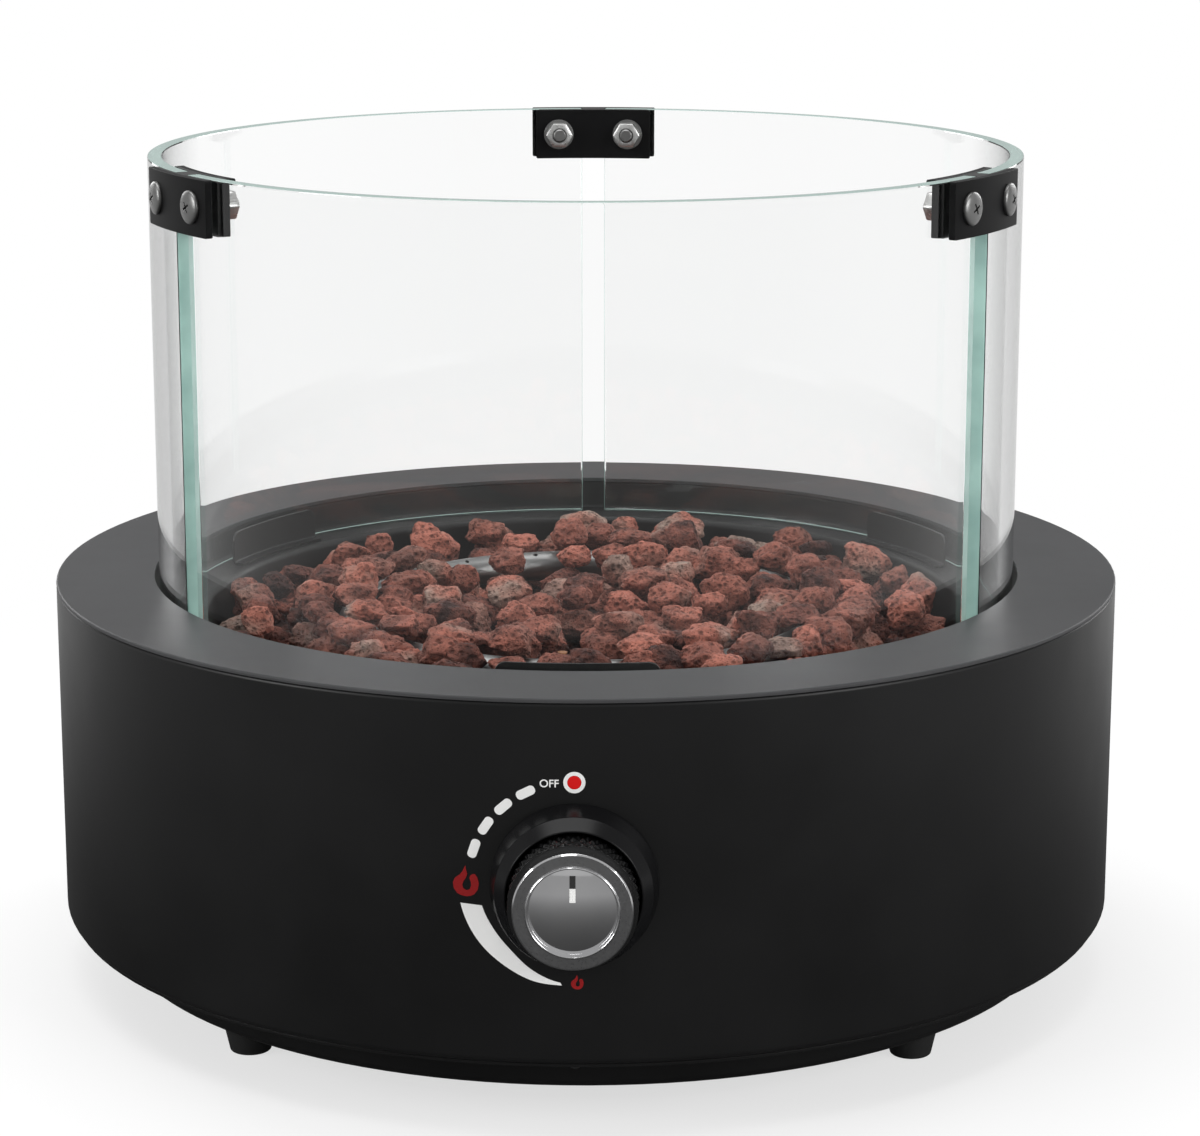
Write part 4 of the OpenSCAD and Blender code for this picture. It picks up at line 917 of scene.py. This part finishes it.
def flat_outline(loops):
    """A filled flat curve. A loop inside another is a hole."""
    curve = bpy.data.curves.new("flat_outline", "CURVE")
    curve.dimensions, curve.fill_mode, curve.extrude = "2D", "BOTH", (INK_FRONT - INK_BACK) / 2
    for loop in loops:
        line = curve.splines.new("POLY")
        line.points.add(len(loop) - 1)
        for point, (across, up) in zip(line.points, loop):
            point.co = (across * MM, up * MM, 0, 1)
        line.use_cyclic_u = True
    return curve


def print_mark(name, shape, ink, right=0.0, up=0.0, turn=0.0):
    """Wraps a curve or loops round the drum, at a place measured from the knob in millimetres."""
    curve = flat_outline(shape) if isinstance(shape, list) else shape
    flat = bpy.data.objects.new("flat_mark", curve)
    bm = bmesh.new()
    mesh = bpy.data.meshes.new_from_object(flat)
    bm.from_mesh(mesh)
    bpy.data.objects.remove(flat)
    bpy.data.meshes.remove(mesh)
    bmesh.ops.remove_doubles(bm, verts=bm.verts, dist=0.001 * MM)
    bmesh.ops.rotate(bm, verts=bm.verts, matrix=Matrix.Rotation(math.radians(turn), 3, "Z"))
    bmesh.ops.translate(bm, verts=bm.verts, vec=(right * MM, up * MM, 0))
    left, right = (end(vert.co.x for vert in bm.verts) for end in (min, max))
    cut = STRIP * math.ceil(left / STRIP)
    while cut < right:
        bmesh.ops.bisect_plane(bm, geom=[*bm.verts, *bm.edges, *bm.faces], dist=0.001 * MM,
                               plane_co=(cut, 0, 0), plane_no=(1, 0, 0))
        cut += STRIP
    for vert in bm.verts:
        around = vert.co.x / DRUM_R
        away = DRUM_R + (INK_BACK if vert.co.z < 0 else INK_FRONT)
        vert.co = (away * math.sin(around), -away * math.cos(around), KNOB_Z + vert.co.y)
    bmesh.ops.recalc_face_normals(bm, faces=bm.faces)
    slot = "ceramic_white" if ink == "printed_white" else "lead_insulation"
    new_piece(bm, name, [finishes[ink]], "drum", slot)


def round_loop(radius, steps=40):
    """A circle as a loop of points."""
    return [polar(radius, 360 * i / steps) for i in range(steps)]


print("printing helpers ready")

# %% The off mark
OFF_SPOT, WORD_SPOT, WORD_SIZE = (0.0, 39.6), (-9.3, 39.0), 4.15 * MM
OFF_RING, OFF_DOT = (4.1, 2.65), 2.6

print_mark("mark_off_ring", [round_loop(radius) for radius in OFF_RING], "printed_white", *OFF_SPOT)
print_mark("mark_off_dot", [round_loop(OFF_DOT)], "printed_red", *OFF_SPOT)

word = bpy.data.curves.new("off_word", "FONT")
word.body, word.size, word.extrude = "OFF", WORD_SIZE, (INK_FRONT - INK_BACK) / 2
word.align_x, word.align_y, word.offset = "CENTER", "CENTER", 0.05 * MM
print_mark("mark_off_word", word, "printed_white", *WORD_SPOT)

# %% The dashes and the wedge
DASH_ANGLES = (117.0, 131.6, 146.2, 160.8)
DASH_R, DASH_L, DASH_W, DASH_CORNER = 39.8, 7.5, 3.6, 1.55


def rounded_bar(length, width, corner):
    """A bar with round corners, as a loop of points."""
    loop = []
    for quarter, (side, end) in enumerate(((1, 1), (-1, 1), (-1, -1), (1, -1))):
        for i in range(6):
            across, up = polar(corner, 90 * quarter + 18 * i)
            loop.append((side * (length / 2 - corner) + across, end * (width / 2 - corner) + up))
    return loop


for number, angle in enumerate(DASH_ANGLES, 1):
    print_mark(f"mark_dash_{number}", [rounded_bar(DASH_L, DASH_W, DASH_CORNER)], "printed_white",
               *polar(DASH_R, angle), angle - 90)

WEDGE_OUT = ((191, 43.7), (211, 42.9), (231, 41.5), (248, 40.8), (263, 39.6))
WEDGE_IN = ((262, 38.6), (246, 37.2), (228, 35.3), (211, 35.2), (194.5, 35.8))


def smooth_arc(stations, steps=8):
    """Points along an arc whose radius runs smoothly through the stations."""
    ends = [stations[0], *stations, stations[-1]]
    points = []
    for before, start, end, after in zip(ends, ends[1:], ends[2:], ends[3:]):
        for i in range(steps):
            part = i / steps
            lean, next_lean = (end[1] - before[1]) / 2, (after[1] - start[1]) / 2
            away = (start[1] * (1 + 2 * part) * (1 - part) ** 2 + lean * part * (1 - part) ** 2
                    + end[1] * part ** 2 * (3 - 2 * part) + next_lean * part ** 2 * (part - 1))
            points.append(polar(away, start[0] + (end[0] - start[0]) * part))
    return [*points, polar(stations[-1][1], stations[-1][0])]


print_mark("mark_wedge", [smooth_arc(WEDGE_OUT) + smooth_arc(WEDGE_IN)], "printed_white")

# %% The flame signs
FLAME = [(-0.2, 6.3), (0.1, 4.6), (0.5, 3.0), (0.0, 1.5), (-0.9, 0.2), (-1.4, -1.3), (-1.0, -2.7),
         (0.3, -3.3), (1.5, -2.8), (2.0, -1.3), (1.8, 0.2), (1.3, 1.4), (1.6, 2.4), (2.6, 3.1),
         (3.5, 3.1), (4.4, 1.8), (4.9, -0.4), (4.5, -2.9), (3.1, -4.8), (1.6, -5.5), (0, -5.7),
         (-1.8, -5.4), (-3.3, -4.7), (-4.7, -2.8), (-5.0, -0.5), (-4.2, 1.3), (-2.3, 2.7),
         (-1.3, 4.0), (-0.7, 5.3)]
# Each sign has a size and a spot.
FLAME_SIGNS = {"high": (1, (-40.7, 0.0)), "low": (0.48, (1.0, -38.1))}

for name, (size, spot) in FLAME_SIGNS.items():
    outline = [(size * across, size * up) for across, up in FLAME]
    print_mark(f"mark_flame_{name}", [outline], "printed_flame", *spot)

# %% [markdown]
# ## Clamp screws and nuts
# Two screws hold each clamp on the glass. A screw has a low domed head with a cross recess, and ends
# in a hex nut inside the glass. Heads and nuts are turned or drawn as one blank each, and a Boolean
# modifier cuts the recess and the hole. The result is read back as a plain mesh, so nothing stays
# live, and is set in six places on the glass, with its axis along the radius.

# %% Helpers for the fasteners
def carved(bm, cutter_bm):
    """The first bmesh with the second cut out of it."""
    blank = in_scene("blank", mesh_from(bm, "blank"))
    cutter = in_scene("cutter", mesh_from(cutter_bm, "cutter"))
    cut = blank.modifiers.new("cut", "BOOLEAN")
    cut.operation, cut.solver, cut.object = "DIFFERENCE", "EXACT", cutter
    result = bmesh.new()
    result.from_object(blank, bpy.context.evaluated_depsgraph_get())
    bpy.data.objects.remove(blank)
    bpy.data.objects.remove(cutter)
    return result


def block(size, spot):
    """A box of that size with its middle at the spot."""
    bm = bmesh.new()
    bmesh.ops.create_cube(bm, size=1)
    bmesh.ops.scale(bm, verts=bm.verts, vec=size)
    bmesh.ops.translate(bm, verts=bm.verts, vec=spot)
    return bm


def along_radius(node):
    """For each solid of a node: its angle, its height, and its nearest and farthest radius."""
    found = []
    for points in separate_solids(node):
        middle = sum(points, Vector()) / len(points)
        angle = math.atan2(middle.y, middle.x)
        out = Vector((math.cos(angle), math.sin(angle), 0))
        heights, reach = [point.z for point in points], [point.dot(out) for point in points]
        found.append((angle, (min(heights) + max(heights)) / 2, min(reach), max(reach)))
    return found


def set_round_glass(name, blank, spots, finish, node):
    """Copies of a blank made along +Z, each laid along its own radius."""
    mesh = mesh_from(blank, name + "_blank")
    row = bmesh.new()
    for angle, height, _, _ in spots:
        copy = mesh.copy()
        lay = Matrix.Rotation(angle, 4, "Z") @ Matrix.Rotation(math.radians(90), 4, "Y")
        copy.transform(Matrix.Translation((0, 0, height)) @ lay)
        row.from_mesh(copy)
        bpy.data.meshes.remove(copy)
    bpy.data.meshes.remove(mesh)
    new_piece(row, name, [finishes[finish]], "glass_guard", "stainless", node)


print("fastener helpers ready")

# %% The screws
HEAD_R, HEAD_EDGE, HEAD_H, CAD_HEAD_H = 6.6 * MM, 0.8 * MM, 2.5 * MM, 4.0 * MM
SHANK_R, SHANK_BEVEL = 2.95 * MM, 0.5 * MM
RECESS_L, RECESS_W, RECESS_DEPTH, RECESS_TURN = 4.8 * MM, 0.9 * MM, 1.5 * MM, math.radians(28)

screws = along_radius("clamp_screws")
TAIL, SEAT = screws[0][2], screws[0][3] - CAD_HEAD_H
dome = [(HEAD_R * across, SEAT + HEAD_EDGE + (HEAD_H - HEAD_EDGE) * up)
        for across, up in (polar(1, degrees) for degrees in range(0, 91, 9))]
dome[-1] = (0, SEAT + HEAD_H)
screw = lathe([(0, TAIL), (SHANK_R - SHANK_BEVEL, TAIL), (SHANK_R, TAIL + SHANK_BEVEL),
               (SHANK_R, SEAT), (HEAD_R, SEAT), *dome], steps=40)
for size in ((RECESS_L, RECESS_W, 2 * RECESS_DEPTH), (RECESS_W, RECESS_L, 2 * RECESS_DEPTH)):
    screw = carved(screw, block(size, (0, 0, SEAT + HEAD_H)))
bmesh.ops.rotate(screw, verts=screw.verts, matrix=Matrix.Rotation(RECESS_TURN, 3, "Z"))
set_round_glass("cross_screws", screw, screws, "stainless", "clamp_screws")

# %% The hex nuts
NUT_FLATS, NUT_HOLE_R, NUT_BEVEL = 11 * MM, 3.3 * MM, 0.7 * MM

nuts = along_radius("clamp_nuts")
nut_low, nut_high = nuts[0][2], nuts[0][3]
nut = bmesh.new()
bmesh.ops.create_circle(nut, cap_ends=True, segments=6, radius=NUT_FLATS / math.sqrt(3))
bmesh.ops.translate(nut, verts=extruded_points(nut), vec=(0, 0, nut_high - nut_low))
bmesh.ops.translate(nut, verts=nut.verts, vec=(0, 0, nut_low))
bmesh.ops.recalc_face_normals(nut, faces=nut.faces)
soften(nut, NUT_BEVEL, angle=50)
hole = lathe([(0, nut_low - MM), (NUT_HOLE_R, nut_low - MM), (NUT_HOLE_R, nut_high + MM),
              (0, nut_high + MM)], steps=32)
nut = carved(nut, hole)
set_round_glass("hex_nuts", nut, nuts, "nut_steel", "clamp_nuts")

# %% [markdown]
# ## The bezel
# The black bezel round the grip has a straight side and a slanting front, whose inner edge stands
# forward of the outer one. It is turned as one closed ring, and a cylinder as large as the drum is
# cut out of its back, so that it lies against the curved wall.

# %% Make the bezel
BEZEL_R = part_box("knob_bezel")[1].x
BEZEL_SIDE_R, BEZEL_MOUTH_R, BEZEL_HOLE_R = 29.5 * MM, 25.0 * MM, 10.0 * MM
BEZEL_STEP, BEZEL_PLATE, BEZEL_SIDE_H, BEZEL_FRONT_H = 2 * MM, 2.2 * MM, 10.5 * MM, 16.0 * MM
BEZEL_BACK_H, WALL_GAP = 3 * MM, 0.1 * MM

profile = [(BEZEL_HOLE_R, -BEZEL_BACK_H), (BEZEL_R, -BEZEL_BACK_H), (BEZEL_R, BEZEL_STEP),
           (BEZEL_SIDE_R, BEZEL_SIDE_H), (BEZEL_MOUTH_R + 0.6 * MM, BEZEL_FRONT_H),
           (BEZEL_MOUTH_R, BEZEL_FRONT_H - 0.3 * MM), (BEZEL_MOUTH_R, BEZEL_PLATE),
           (BEZEL_HOLE_R, BEZEL_PLATE)]
bezel = lathe([(radius, DRUM_R + height) for radius, height in profile], steps=192, closed=True)
soften(bezel, 0.35 * MM, angle=15)
to_knob(bezel)
drum_cut = lathe([(0, 0), (DRUM_R + WALL_GAP, 0), (DRUM_R + WALL_GAP, 2 * KNOB_Z), (0, 2 * KNOB_Z)],
                 steps=720)
new_piece(carved(bezel, drum_cut), "turned_bezel", [finishes["gloss_black"]], "drum", "gloss_black",
          "knob_bezel", sharp=5)

# %% [markdown]
# ## The end

# %% Finish
print("all pieces made")
